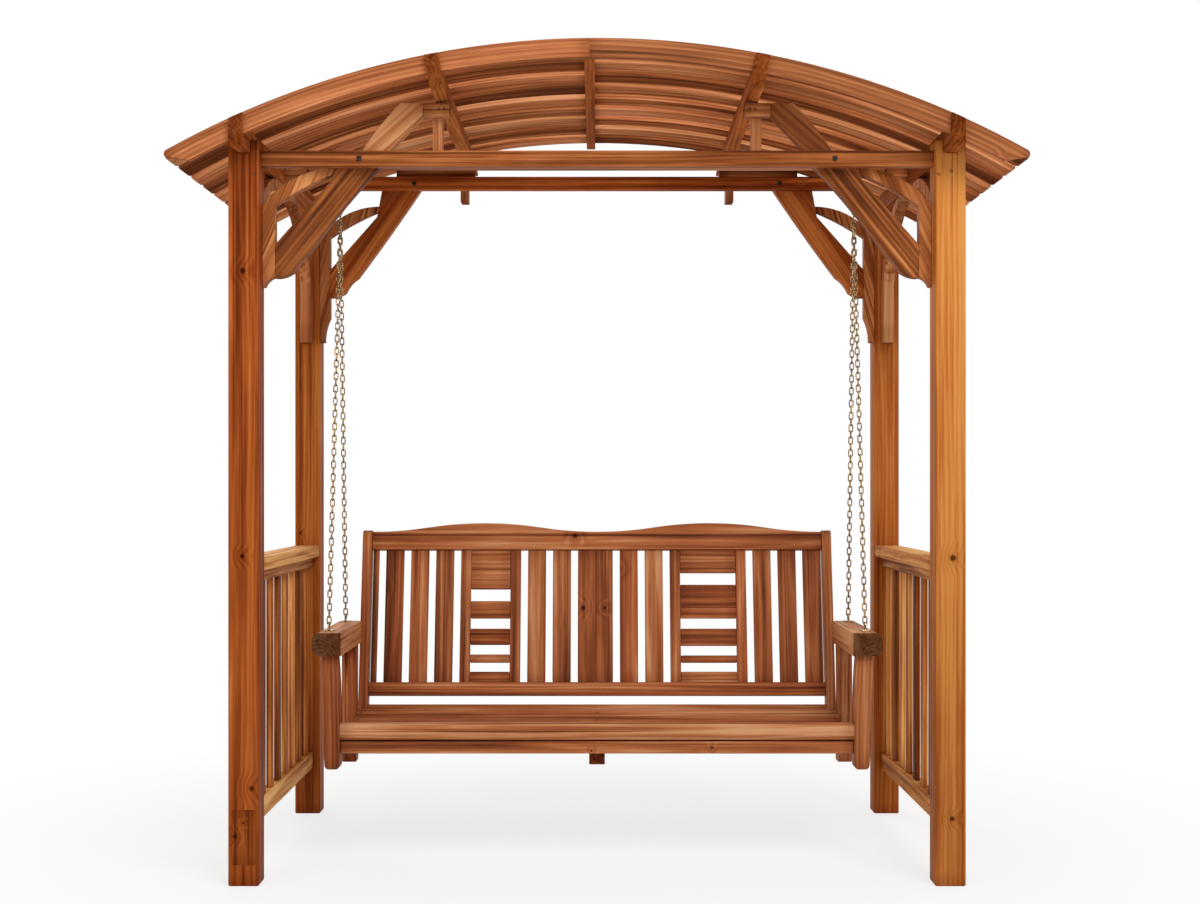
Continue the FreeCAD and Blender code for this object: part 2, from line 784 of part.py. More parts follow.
panel_length = "frame_depth - 2 * post_size"
slat_foot = "(side_rail_bottom + side_rail_height)"
slat_head = "(cap_top - cap_thickness - sub_rail_thickness)"
for side, sx in SIDES:
    middle_x = "%d * (frame_width - post_size) / 2" % sx
    for name, width, bottom, height in (
            ("side_cap_", "cap_width", "cap_top - cap_thickness", "cap_thickness"),
            ("side_top_rail_", "side_rail_width", slat_head, "sub_rail_thickness"),
            ("side_bottom_rail_", "side_rail_width", "side_rail_bottom", "side_rail_height")):
        node(board(
            name + side, width, panel_length, height,
            "%s - %s / 2" % (middle_x, width), "post_size - frame_depth / 2", bottom))
    half_x = val("side_slat_thickness") / 2
    half_y = val("side_slat_width") / 2
    slats = shaped("side_slats_" + side, "XY", (-half_x, -half_y), [
        (half_x, -half_y), (half_x, half_y), (-half_x, half_y), (-half_x, -half_y),
    ], "%s - %s" % (slat_head, slat_foot))
    in_row(slats, "Y", "side_slat_count", "(%s) * (side_slat_count - 1) / side_slat_count" % panel_length)
    bind(slats, "Placement.Base.x", middle_x)
    bind(slats, "Placement.Base.z", "(%s + %s) / 2" % (slat_head, slat_foot))
    node(slats)

# Hooks: round bar screwed up into the swing beam and bent to a J, with a short level bed for the top link.

pivot_z = val("swing_beam_bottom") - val("hook_drop")


def mitred_bar(path, section, closed):
    """A bar along corners in the XZ plane, mitred at each; its section is (left of the way, along Y)."""
    across = FreeCAD.Vector(0, 1, 0)
    points = [FreeCAD.Vector(x, 0, z) for x, z in path]
    ways = [there - here for here, there in zip(points, points[1:] + points[:1])]
    lefts = [way.cross(across).normalize() for way in ways]
    if not closed:
        lefts[-1] = lefts[-2]
    rings = []
    for i, point in enumerate(points):
        before = lefts[i - 1] if closed or i > 0 else lefts[i]
        mitre = (before + lefts[i]) * (1 / (1 + before.dot(lefts[i])))
        rings.append([point + mitre * out + across * y for out, y in section])
    runs = list(zip(rings, rings[1:] + rings[:1]))
    loops = [] if closed else [rings[0], rings[-1]]
    for here, there in (runs if closed else runs[:-1]):
        loops += [[here[k - 1], here[k], there[k], there[k - 1]] for k in range(len(section))]
    faces = [Part.Face(Part.makePolygon(loop + loop[:1])) for loop in loops]
    return Part.makeSolid(Part.makeShell(faces))


def hook(label, sx):
    """A hook of eight-sided bar bent to a J, its own origin on the beam's underside."""
    bend = val("hook_bend")
    bed = val("hook_flat") / 2
    low = bend - val("hook_drop")
    turns = [math.pi / 6 * i for i in range(4)]
    near = [(-bed - bend * math.cos(t), low - bend * math.sin(t)) for t in turns]
    far = [(-x, z) for x, z in reversed(near)]
    corners = [math.pi / 4 * (i + 0.5) for i in range(8)]
    section = [(val("hook_wire") / 2 * math.cos(t), val("hook_wire") / 2 * math.sin(t)) for t in corners]
    path = [(-bed - bend, 0), *near, *far, (bed + bend, low + val("hook_tip"))]
    feature = doc.addObject("Part::Feature", label)
    feature.Shape = mitred_bar(path, section, False)
    place(feature, "%d * chain_offset" % sx, "0", "swing_beam_bottom")
    return feature


group("hooks", [hook("hook_" + side, sx) for side, sx in SIDES])

# Rings: one on each side joins the upper chain to the two chains that spread to the arm.


def around(radius, sides):
    """Corners of an even polygon whose sides touch a circle, clockwise, with a flat side at the top."""
    reach = radius / math.cos(math.pi / sides)
    turns = [2 * math.pi * (i + 0.5) / sides for i in range(sides)]
    return [(reach * math.sin(t), reach * math.cos(t)) for t in turns]


def ring(label, sx):
    """A ring of square bar in many short runs, across the swing's own axis."""
    wire = val("ring_wire")
    section = [(0, -wire / 2), (0, wire / 2), (wire, wire / 2), (wire, -wire / 2)]
    feature = doc.addObject("Part::Feature", label)
    feature.Shape = mitred_bar(around(val("ring_bore"), int(val("ring_sides"))), section, True)
    feature.Placement.Rotation = FreeCAD.Rotation(FreeCAD.Vector(0, 0, 1), 90)
    place(feature, "%d * chain_offset" % sx, "0", "ring_height")
    return feature


group("rings", [ring("ring_" + side, sx) for side, sx in SIDES])

# Pad eyes: a lug with a hole, standing on a small plate screwed to the arm.


def pad_eye(label, sx, y):
    """A pad eye on the top of an arm, its many-sided hole square to the swing's direction."""
    reach = val("eye_bore") + val("eye_rim")
    rise = val("eye_rise")
    sides = int(val("eye_sides"))
    crown = [(u, v + rise) for u, v in around(reach, sides) if v > 0]
    crown.sort(reverse=True)
    lug = shaped(label + "_lug", "YZ", (-reach, 0), [(reach, 0), *crown, (-reach, 0)], "eye_thickness")
    hole = [(u, v + rise) for u, v in around(val("eye_bore"), sides)]
    lug.Group[0].addGeometry(edges_of(hole[-1], hole), False)
    place(lug, "%d * chain_offset" % sx, y, "arm_top + eye_plate_thickness")
    plate = board(
        label + "_plate", "eye_plate_width", "eye_plate_length", "eye_plate_thickness",
        "%d * chain_offset - eye_plate_width / 2" % sx, y + " - eye_plate_length / 2", "arm_top")
    return fused(label, plate, lug)


eyes = []
for side, sx in SIDES:
    for end, _ in ENDS:
        eyes.append(pad_eye("eye_%s_%s" % (end, side), sx, end + "_eye_y"))
group("arm_eyes", eyes)

# Chains: closed links, each turned a quarter from the one above and hanging in it.


def link(inside):
    """One link: a closed loop of three-sided bar, flat on the inside, its long axis along Z."""
    wire = val("link_wire")
    bore = val("link_bore") / 2
    tall = inside / 2
    section = [(0, -wire / 2), (0, wire / 2), (wire, 0)]
    return mitred_bar([(bore, tall), (bore, -tall), (-bore, -tall), (-bore, tall)], section, True)


def chain(label, top, bottom, count, first_turn):
    """Links from one bearing point down to another: the first lies broad along X (0) or across it (1)."""
    line = top - bottom
    clearance = val("link_clearance")
    pitch = (line.Length - clearance) / count
    one = link(pitch + clearance)
    up = line.normalize()
    sideways = FreeCAD.Vector(1, 0, 0)
    across = up.cross(sideways)
    links = []
    for k in range(count):
        broad, thick = (sideways, across) if (k + first_turn) % 2 == 0 else (across, sideways.negative())
        copy = one.copy()
        middle = top - up * (pitch * (k + 0.5) + clearance / 2)
        copy.Placement = FreeCAD.Placement(middle, FreeCAD.Rotation(broad, thick, up, "ZXY"))
        links.append(copy)
    feature = doc.addObject("Part::Feature", label)
    feature.Shape = Part.makeCompound(links)
    return feature


def odd_count(length):
    """How many links hang in a length, an odd number so that both end links face the same way."""
    return 2 * round((length / val("link_pitch") - 1) / 2) + 1


upper_chains = []
leg_chains = {"front": [], "rear": []}
for side, sx in SIDES:
    x = sx * val("chain_offset")
    bed = pivot_z + val("hook_wire") / 2 + val("pivot_clearance")
    ring_z = val("ring_height")
    upper_chains.append(chain(
        "upper_chain_" + side,
        FreeCAD.Vector(x, 0, bed),
        FreeCAD.Vector(x, 0, ring_z + val("ring_bore") - val("ring_seat")),
        int(val("upper_link_count")), 1))
    for end, sy in ENDS:
        lean = math.radians(val("ring_leg_angle"))
        hang = val("ring_bore") - val("ring_seat")
        start = FreeCAD.Vector(x, sy * hang * math.sin(lean), ring_z - hang * math.cos(lean))
        hole = FreeCAD.Vector(
            x, val(end + "_eye_y"), val("arm_top") + val("eye_plate_thickness") + val("eye_rise"))
        pull = (start - hole).normalize()
        stop = hole + pull * (val("eye_bore") - val("eye_seat"))
        count = odd_count((start - stop).Length)
        leg_chains[end].append(chain("%s_chain_%s" % (end, side), start, stop, count, 0))
group("upper_chains", upper_chains)
group("front_chains", leg_chains["front"])
group("rear_chains", leg_chains["rear"])

# Bench side frames: an arm on a front and a rear leg, and a leaning back post.

lean = math.radians(val("back_lean"))


def post_face(z):
    """How far back the leaning post's front face is at a height."""
    return val("back_y") - val("back_post_depth") / 2 / math.cos(lean) + math.tan(lean) * (z - val("back_z"))


def leaning(obj, x="0"):
    """Put a piece that is made upright into the leaning plane of the back."""
    obj.Placement.Rotation = FreeCAD.Rotation(FreeCAD.Vector(1, 0, 0), -1)
    bind(obj, "Placement.Rotation.Angle", "back_lean")
    obj.Placement.Rotation.Axis = FreeCAD.Vector(-1, 0, 0)
    place(obj, x, "back_y", "back_z")
    return obj


def pair(label, right):
    """The right-hand piece and its mirror image on the left."""
    return group(label, [right, mirrored(label + "_mirror", right)])


arm_foot = val("arm_top") - val("arm_height")
arm = shaped("arm", "YZ", (val("arm_front"), arm_foot), [
    (post_face(arm_foot), arm_foot),
    (post_face(val("arm_top")), val("arm_top")),
    (val("arm_front"), val("arm_top")),
    (val("arm_front"), arm_foot),
], "arm_width")


def outer_arris(edge):
    """The arm's two long edges on the side away from the seat."""
    ends = [v.Point for v in edge.Vertexes]
    lengthwise = abs(ends[0].y - ends[1].y) > val("arm_width")
    return lengthwise and all(math.isclose(p.x, val("arm_width") / 2, abs_tol=0.01) for p in ends)


rounded(arm, "arm_round", outer_arris)
place(arm, "arm_inner + arm_width / 2")
pair("arms", arm)

leg_face = val("leg_inner")
leg_back = leg_face + val("leg_width")
leg_foot = val("front_leg_foot")
sway = val("leg_sway")
foot_round = val("foot_round")
seat_line = val("back_z")
front_leg = shaped("front_leg", "XZ", (leg_face + sway, arm_foot), [
    (leg_back + sway, arm_foot),
    bowed((leg_back + sway, arm_foot), (leg_back, leg_foot + foot_round), val("leg_outer_bow")),
    quarter_round((leg_back, leg_foot + foot_round), (leg_back - foot_round, leg_foot), 1),
    (leg_face + foot_round, leg_foot),
    quarter_round((leg_face + foot_round, leg_foot), (leg_face, leg_foot + foot_round), 1),
    (leg_face, seat_line),
    bowed((leg_face, seat_line), (leg_face + sway, arm_foot), val("leg_inner_bow")),
], "front_leg_depth")
place(front_leg, y="front_leg_y")
pair("front_legs", front_leg)

near = val("rear_leg_y") - val("rear_leg_depth") / 2
far = val("rear_leg_y") + val("rear_leg_depth") / 2
tail = val("rear_leg_foot")
rear_leg = shaped("rear_leg", "YZ", (near, tail), [
    (far, tail),
    bowed((far, tail), (far, arm_foot), sway),
    (near, arm_foot),
    bowed((near, arm_foot), (near, tail), -sway),
], "leg_width")
place(rear_leg, "leg_inner + leg_width / 2")
pair("rear_legs", rear_leg)

half_post = val("back_post_depth") / 2
post_top = val("back_post_top")
back_post = shaped("back_post", "YZ", (-half_post, -val("back_post_tail")), [
    (half_post, -val("back_post_tail")),
    (half_post, post_top - half_post),
    ((0, post_top), (-half_post, post_top - half_post)),
    (-half_post, -val("back_post_tail")),
], "back_post_width")
leaning(back_post, "leg_inner - back_post_width / 2")
pair("back_posts", back_post)

# Bench back: a top rail with two crests, a bottom rail, upright slats and two ladder-like panels.

rail_end = leg_face - val("back_post_width")
rail_low = val("top_rail_end")
rail_high = val("top_rail_crest")
rail_mid = (rail_low + rail_high) / 2
swell = rail_end / 4
swell_rise = rail_high - rail_mid
swell_radius = (swell ** 2 + swell_rise ** 2) / (2 * swell_rise)
end_rise = swell_radius - math.sqrt(swell_radius ** 2 - (swell / 2) ** 2)
top_rail = shaped("back_top_rail", "XZ", (-rail_end, val("top_rail_bottom")), [
    (rail_end, val("top_rail_bottom")),
    (rail_end, rail_low),
    ((rail_end - swell / 2, rail_low + end_rise), (3 * swell, rail_mid)),
    ((2 * swell, rail_high), (swell, rail_mid)),
    ((0, rail_low), (-swell, rail_mid)),
    ((-2 * swell, rail_high), (-3 * swell, rail_mid)),
    ((swell / 2 - rail_end, rail_low + end_rise), (-rail_end, rail_low)),
    (-rail_end, val("top_rail_bottom")),
], "back_rail_thickness")
node(leaning(top_rail))


def back_board(label, x, width, bottom, height, thickness="back_slat_thickness", ahead="0"):
    """A board in the back: its left edge, its lower edge up the lean, and how far it is set forward."""
    box = doc.addObject("Part::Box", label)
    bind(box, "Length", width)
    bind(box, "Width", thickness)
    bind(box, "Height", height)
    leaning(box)
    depth = "(-(%s) - (%s) / 2)" % (ahead, thickness)
    place(
        box, x,
        "back_y + %s * cos(back_lean) + (%s) * sin(back_lean)" % (depth, bottom),
        "back_z - %s * sin(back_lean) + (%s) * cos(back_lean)" % (depth, bottom))
    return box


rail_left = "back_post_width - leg_inner"
rail_length = "2 * (leg_inner - back_post_width)"
node(back_board(
    "back_bottom_rail", rail_left, rail_length,
    "bottom_rail_bottom", "bottom_rail_height", "back_rail_thickness"))
node(back_board(
    "rear_seat_rail", rail_left, rail_length,
    "rear_seat_rail_top - rear_seat_rail_height", "rear_seat_rail_height", "back_rail_thickness",
    "(back_post_depth - back_rail_thickness) / 2"))

slat_foot = "bottom_rail_bottom + bottom_rail_height"
slat_rise = "top_rail_bottom - (%s)" % slat_foot


def back_slat(label, x, width="back_slat_width"):
    """An upright slat from the bottom rail to the top rail, given by its left edge."""
    return back_board(label, x, width, slat_foot, slat_rise)


GAPS = ("one", "two", "three", "four")


def back_panel(side, left):
    """A ladder-like panel: two stiles with level boards and four openings between them."""
    wide = side + "_panel_width"
    pieces = []
    for name, x in (("left", left), ("right", "%s + %s - panel_stile_width" % (left, wide))):
        pieces.append(back_slat("%s_panel_stile_%s" % (side, name), x, "panel_stile_width"))
    feet = [slat_foot] + ["%s_gap_%s + panel_gap_%s" % (side, gap, gap) for gap in GAPS]
    heads = ["%s_gap_%s" % (side, gap) for gap in GAPS] + ["top_rail_bottom"]
    for i, (foot, head) in enumerate(zip(feet, heads)):
        pieces.append(back_board(
            "%s_panel_board_%d" % (side, i), left + " + panel_stile_width", wide + " - 2 * panel_stile_width",
            foot, "%s - (%s)" % (head, foot)))
    group("back_panel_" + side, pieces)


ORDER = "strip slat slat slat left slat slat centre slat slat right slat slat slat".split()
slats = []
x = rail_left + " + back_end_gap"
for i, kind in enumerate(ORDER):
    width = "back_slat_width"
    if kind == "slat":
        slats.append(back_slat("back_slat_%d" % i, x))
    elif kind == "strip":
        width = "end_strip_width"
        slats.append(back_slat("back_end_strip", x, width))
    elif kind == "centre":
        width = "2 * centre_board_width"
        slats.append(back_slat("back_centre_left", x, "centre_board_width"))
        slats.append(back_slat("back_centre_right", x + " + centre_board_width", "centre_board_width"))
    else:
        width = kind + "_panel_width"
        back_panel(kind, x)
    x += " + %s + back_gap" % width
group("back_slats", slats)

# Seat: three bearers with hollowed tops, slats bent to their curve, a rounded nose and an apron.

bearer_front = val("seat_bearer_front")
bearer_top = val("seat_bearer_top")
bearer_back = post_face(bearer_top)
half_chord = (bearer_back - bearer_front) / 2
dip = val("seat_dip")
hollow = (half_chord ** 2 + dip ** 2) / (2 * dip)
hollow_y = (bearer_front + bearer_back) / 2
hollow_z = bearer_top - dip + hollow


def bearer(label, bottom, width, x):
    """A bearer from the nose to the back, its top hollowed for the slats."""
    body = shaped(label, "YZ", (bearer_front, bottom), [
        (post_face(bottom), bottom),
        (bearer_back, bearer_top),
        ((hollow_y, bearer_top - dip), (bearer_front, bearer_top)),
        (bearer_front, bottom),
    ], width)
    place(body, x)
    return body


side_bearer = "leg_inner - seat_bearer_width / 2"
group("seat_bearers", [
    bearer("bearer_left", val("seat_bearer_bottom"), "seat_bearer_width", "-(%s)" % side_bearer),
    bearer("bearer_centre", val("centre_bearer_bottom"), "centre_bearer_width", "0"),
    bearer("bearer_right", val("seat_bearer_bottom"), "seat_bearer_width", side_bearer),
])

seat_slats = []
sweep = 2 * math.asin(half_chord / hollow)
slat_count = int(val("seat_slat_count"))
half_slat = val("seat_slat_width") / 2
bed = math.sqrt(hollow ** 2 - half_slat ** 2) - val("seat_slat_lift")
for i in range(slat_count):
    turn = sweep * ((i + 0.5) / slat_count - 0.5)
    slat = doc.addObject("Part::Box", "seat_slat_%d" % i)
    bind(slat, "Length", "2 * leg_inner")
    bind(slat, "Width", "seat_slat_width")
    bind(slat, "Height", "seat_slat_thickness")
    slat.Placement = FreeCAD.Placement(
        FreeCAD.Vector(
            -leg_face,
            hollow_y + bed * math.sin(turn) - half_slat * math.cos(turn),
            hollow_z - bed * math.cos(turn) - half_slat * math.sin(turn)),
        FreeCAD.Rotation(FreeCAD.Vector(1, 0, 0), math.degrees(turn)))
    seat_slats.append(slat)
group("seat_slats", seat_slats)

nose_back = bearer_front
nose_front = bearer_front - val("nose_depth")
nose_foot = val("nose_top") - val("nose_height")
nose_crown = val("nose_top")
nose_round = val("nose_round")
node(shaped("seat_nose", "YZ", (nose_back, nose_foot), [
    (nose_back, nose_crown),
    (nose_front + nose_round, nose_crown),
    quarter_round((nose_front + nose_round, nose_crown), (nose_front, nose_crown - nose_round), -1),
    (nose_front, nose_foot + nose_round),
    quarter_round((nose_front, nose_foot + nose_round), (nose_front + nose_round, nose_foot), -1),
    (nose_back, nose_foot),
], "2 * leg_inner"))

node(board(
    "seat_apron", "2 * leg_inner", "apron_thickness", "apron_height",
    "-leg_inner", "seat_bearer_front - apron_thickness",
    "nose_top - nose_height - apron_gap - apron_height"))

# Check every object, then write one file for each piece or group.

doc.recompute()
faults = [obj.Name for obj in doc.Objects if "Invalid" in obj.State or "Error" in obj.State]
faults += [obj.Name for obj in NODES if obj.Shape.isNull() or not obj.Shape.isValid() or not obj.Shape.Solids]
if faults:
    raise RuntimeError("not built: " + ", ".join(faults))

os.makedirs("parts", exist_ok=True)
for obj in NODES:
    obj.Shape.exportStep("parts/%s.step" % obj.Label)
print(len(NODES), "pieces,", sum(len(obj.Shape.Solids) for obj in NODES), "solids")
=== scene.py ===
import json
import math
import random
import bmesh
import bpy
import numpy as np
from mathutils import Matrix, Vector


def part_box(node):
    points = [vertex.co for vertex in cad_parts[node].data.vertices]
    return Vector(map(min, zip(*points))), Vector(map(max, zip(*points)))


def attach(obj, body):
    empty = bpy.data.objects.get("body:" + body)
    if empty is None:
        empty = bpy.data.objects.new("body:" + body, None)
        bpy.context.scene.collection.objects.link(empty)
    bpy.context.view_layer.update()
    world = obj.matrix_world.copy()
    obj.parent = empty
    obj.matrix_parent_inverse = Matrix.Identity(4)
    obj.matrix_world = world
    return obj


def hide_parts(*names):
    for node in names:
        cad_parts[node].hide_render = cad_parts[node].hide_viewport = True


# A timber garden swing seat: a slatted bench on chains, in a four-post frame under an arched slatted roof.
# Metres, with X to the right as seen from the front, Y to the back and Z up.
# The origin is on the ground, in the middle of the frame.

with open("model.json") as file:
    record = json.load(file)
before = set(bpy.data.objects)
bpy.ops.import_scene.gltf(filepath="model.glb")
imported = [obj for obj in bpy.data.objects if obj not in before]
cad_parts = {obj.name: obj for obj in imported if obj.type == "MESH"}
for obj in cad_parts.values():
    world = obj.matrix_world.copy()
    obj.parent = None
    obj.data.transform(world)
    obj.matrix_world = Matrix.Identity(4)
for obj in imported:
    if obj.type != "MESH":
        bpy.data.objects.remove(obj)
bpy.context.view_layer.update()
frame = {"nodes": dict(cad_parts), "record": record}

# View: a level camera in front of the frame, a little under shoulder height.
# Its image is shifted instead of tilted, so the posts stay upright.
# Pixels are those of a picture 1200 wide.

EYE = (0.0, -5.04, 1.05)
PICTURE_WIDTH = 1200
FOCAL_PIXELS = 1721
SENSOR = 36.0
VANISHING_X = 597
HORIZON_Y = 485
PICTURE_CENTRE = (600, 452)

lens = bpy.data.cameras.new("view")
lens.sensor_width = SENSOR
lens.lens = SENSOR * FOCAL_PIXELS / PICTURE_WIDTH
lens.shift_x = (PICTURE_CENTRE[0] - VANISHING_X) / PICTURE_WIDTH
lens.shift_y = (HORIZON_Y - PICTURE_CENTRE[1]) / PICTURE_WIDTH
camera = bpy.data.objects.new("view", lens)
camera.location = EYE
camera.rotation_euler = (math.radians(90), 0, 0)
bpy.context.collection.objects.link(camera)
bpy.context.scene.camera = camera
bpy.context.scene.view_settings.view_transform = "Standard"

# Studio: a pale floor that runs out into white, a soft white sky and three large lamps.
# The strongest lamp stands high at the front on the right, so it lights the seat as well as the back.

WHITE = (1, 1, 1, 1)
FLOOR_COLOUR = (0.92, 0.92, 0.92, 1)
FLOOR_ROUGHNESS = 0.9
FLOOR_SIZE = 40.0
FLOOR_FADE = (0.6, 2.6)
FLOOR_SHADE = 0.30
SKY_LEVEL = 0.40
LAMPS = (
    ("key_lamp", (1.9, -4.2, 5.0), 3.0, 206),
    ("fill_lamp", (-3.2, -4.8, 2.4), 3.2, 56),
    ("back_lamp", (-1.5, 4.6, 3.8), 3.0, 75),
)
LAMP_AIM = Vector((0, 0, 1.0))


def add(tree, kind, inputs=None, **settings):
    """A shader node with its settings, and inputs that are either values or other nodes' outputs."""
    step = tree.nodes.new(kind)
    for name, value in settings.items():
        setattr(step, name, value)
    for socket, value in (inputs or {}).items():
        if isinstance(value, bpy.types.NodeSocket):
            tree.links.new(value, step.inputs[socket])
        else:
            step.inputs[socket].default_value = value
    return step


def maths(tree, operation, first, second=0.0, third=0.0, clamp=False):
    """The result of one sum on numbers or sockets."""
    terms = {0: first, 1: second, 2: third}
    return add(tree, "ShaderNodeMath", terms, operation=operation, use_clamp=clamp).outputs[0]


def vector_maths(tree, operation, first, second=(0, 0, 0)):
    """The result of one sum on places or sockets: a number for a length or distance, and else a place."""
    total = add(tree, "ShaderNodeVectorMath", {0: first, 1: second}, operation=operation)
    return total.outputs["Value" if operation in ("LENGTH", "DISTANCE") else "Vector"]


def seen_directly(tree):
    """1 on rays from the eye, and on those seen in metal or glass."""
    path = add(tree, "ShaderNodeLightPath")
    seen = maths(tree, "MAXIMUM", path.outputs["Is Camera Ray"], path.outputs["Is Glossy Ray"])
    return maths(tree, "MAXIMUM", seen, path.outputs["Is Transmission Ray"])


world = bpy.data.worlds.new("studio_sky")
bpy.context.scene.world = world
world.use_nodes = True
sky = world.node_tree
background = sky.nodes["Background"]
background.inputs["Color"].default_value = WHITE
level = add(sky, "ShaderNodeMapRange", {"Value": seen_directly(sky), "To Min": SKY_LEVEL, "To Max": 1.0})
sky.links.new(level.outputs[0], background.inputs["Strength"])

floor_finish = bpy.data.materials.new("studio_floor")
floor_finish.use_nodes = True
tree = floor_finish.node_tree
tree.nodes["Principled BSDF"].inputs["Base Color"].default_value = FLOOR_COLOUR
tree.nodes["Principled BSDF"].inputs["Roughness"].default_value = FLOOR_ROUGHNESS
place = add(tree, "ShaderNodeTexCoord").outputs["Object"]
distance = vector_maths(tree, "LENGTH", place)
fade = add(tree, "ShaderNodeMapRange", {
    "Value": distance, "From Min": FLOOR_FADE[0], "From Max": FLOOR_FADE[1], "To Min": 1 - FLOOR_SHADE},
    interpolation_type="SMOOTHSTEP")
white = add(tree, "ShaderNodeEmission", {"Color": WHITE, "Strength": 1.0})
mixed = add(tree, "ShaderNodeMixShader", {
    0: maths(tree, "MULTIPLY", fade.outputs[0], seen_directly(tree)),
    1: tree.nodes["Principled BSDF"].outputs[0],
    2: white.outputs[0]})
tree.links.new(mixed.outputs[0], tree.nodes["Material Output"].inputs["Surface"])

bpy.ops.mesh.primitive_plane_add(size=FLOOR_SIZE)
floor = bpy.context.object
floor.name = "studio_floor"
floor.data.materials.append(floor_finish)

for name, spot, size, power in LAMPS:
    lamp = bpy.data.lights.new(name, "AREA")
    lamp.size = size
    lamp.energy = power
    holder = bpy.data.objects.new(name, lamp)
    holder.location = spot
    holder.rotation_euler = (LAMP_AIM - Vector(spot)).to_track_quat("-Z", "Y").to_euler()
    bpy.context.collection.objects.link(holder)

# Posts: four square hardwood timbers, planed and oiled, standing on their sawn ends.
# Each is one board with straight grain, a few knots and eased arrises.

POST_HUES = ((0.660, 0.277, 0.066), (0.495, 0.150, 0.030), (0.285, 0.069, 0.013), (0.120, 0.026, 0.006))
POST_EASE = 0.004
POST_TONES = {
    "post_front_left": 0.66, "post_front_right": 0.09, "post_rear_left": 0.46, "post_rear_right": 0.36}
POST_KNOTS = (
    (-0.926, -0.54, 1.610, 0.010), (0.931, -0.54, 0.859, 0.011), (-0.928, -0.54, 0.864, 0.008),
    (-0.947, -0.54, 0.131, 0.007), (-0.924, -0.54, 0.166, 0.004), (-0.949, 0.46, 0.897, 0.006),
    (0.929, -0.54, 0.177, 0.008))

# how the wood is cut and grown: lengths in metres, noise in waves to the metre along and across the grain
CUT_APART = (31.0, 7.3, 13.7)
KNOT_CELL = (2.3, 9.0, 9.0)
KNOT_CHANCE = 0.22
KNOT_EDGE = (0.003, 0.011)
SPOT_EDGE = (0.4, 1.1)
SWIRL_REACH = 0.05
SPOT_SWIRL = 5
HEART_TURNS = (7.13, 3.71)
HEART_OFF = (0.10, 0.06)
HEART_LEAST = 0.02
RING_WANDER = 0.050
RING_SWELL = 0.016
LATE_WOOD = 2.2
RING_HEIGHT = 6.0
WANDER_GRAIN = (0.9, 9.0)
FIBRE_ALONG = 1.3
BROAD_GRAIN = (0.7, 11.0)
CLOUD_GRAIN = (2.2, 5.0)
PORE_GRAIN = (9.0, 420.0)
LINE_ALONG = 0.55
LINE_FINER = 1.7
LINE_EDGE = (0.07, 0.20)

# how dark each of these makes the wood, where the middle hues come, what dyes the darker places, and the
# painted shadow at the ends of boards
MID_DEPTH = 0.36
RING_DEPTH = 0.22
FIBRE_DEPTH = 1.05
BROAD_DEPTH = 0.85
CLOUD_DEPTH = 0.45
PORE_DEPTH = 0.22
LINE_DEPTH = 0.28
HUE_STOPS = (0.34, 0.66)
RED_TURNS = 11.9
RED_SHARE = 1.2
RED_SHADE = (1.0, 0.80, 0.72)
KNOT_SHADE = (0.20, 0.13, 0.10)
SWIRL_SHADE = (0.62, 0.46, 0.38)
SWIRL_SHARE = 0.35
# painted shadow at the ends of the boards: its colour, how far it reaches, how ragged its edge is and how
# strong it is
PAINTED_END_SHADOW = (0.60, 0.50, 0.45)
PAINTED_END_SHADOW_REACH = 0.045
PAINTED_END_SHADOW_RAGGED = 0.05
PAINTED_END_SHADOW_SHARE = 0.55
END_SHADE = (0.46, 0.36, 0.30)
END_SHARE = 0.85
FOOT_SHADE = (0.42, 0.34, 0.30)
FOOT_HEIGHTS = (0.1, 1.7)
WORN_SHARE = 0.35
WORN_PATCHES = 2.0

# the feel of the planed and oiled surface
FIBRE_ROUGHNESS = 0.30
END_ROUGHNESS = 0.25
PORE_RELIEF = 0.8
RELIEF_STRENGTH = 0.25
RELIEF_HEIGHT = 0.0012


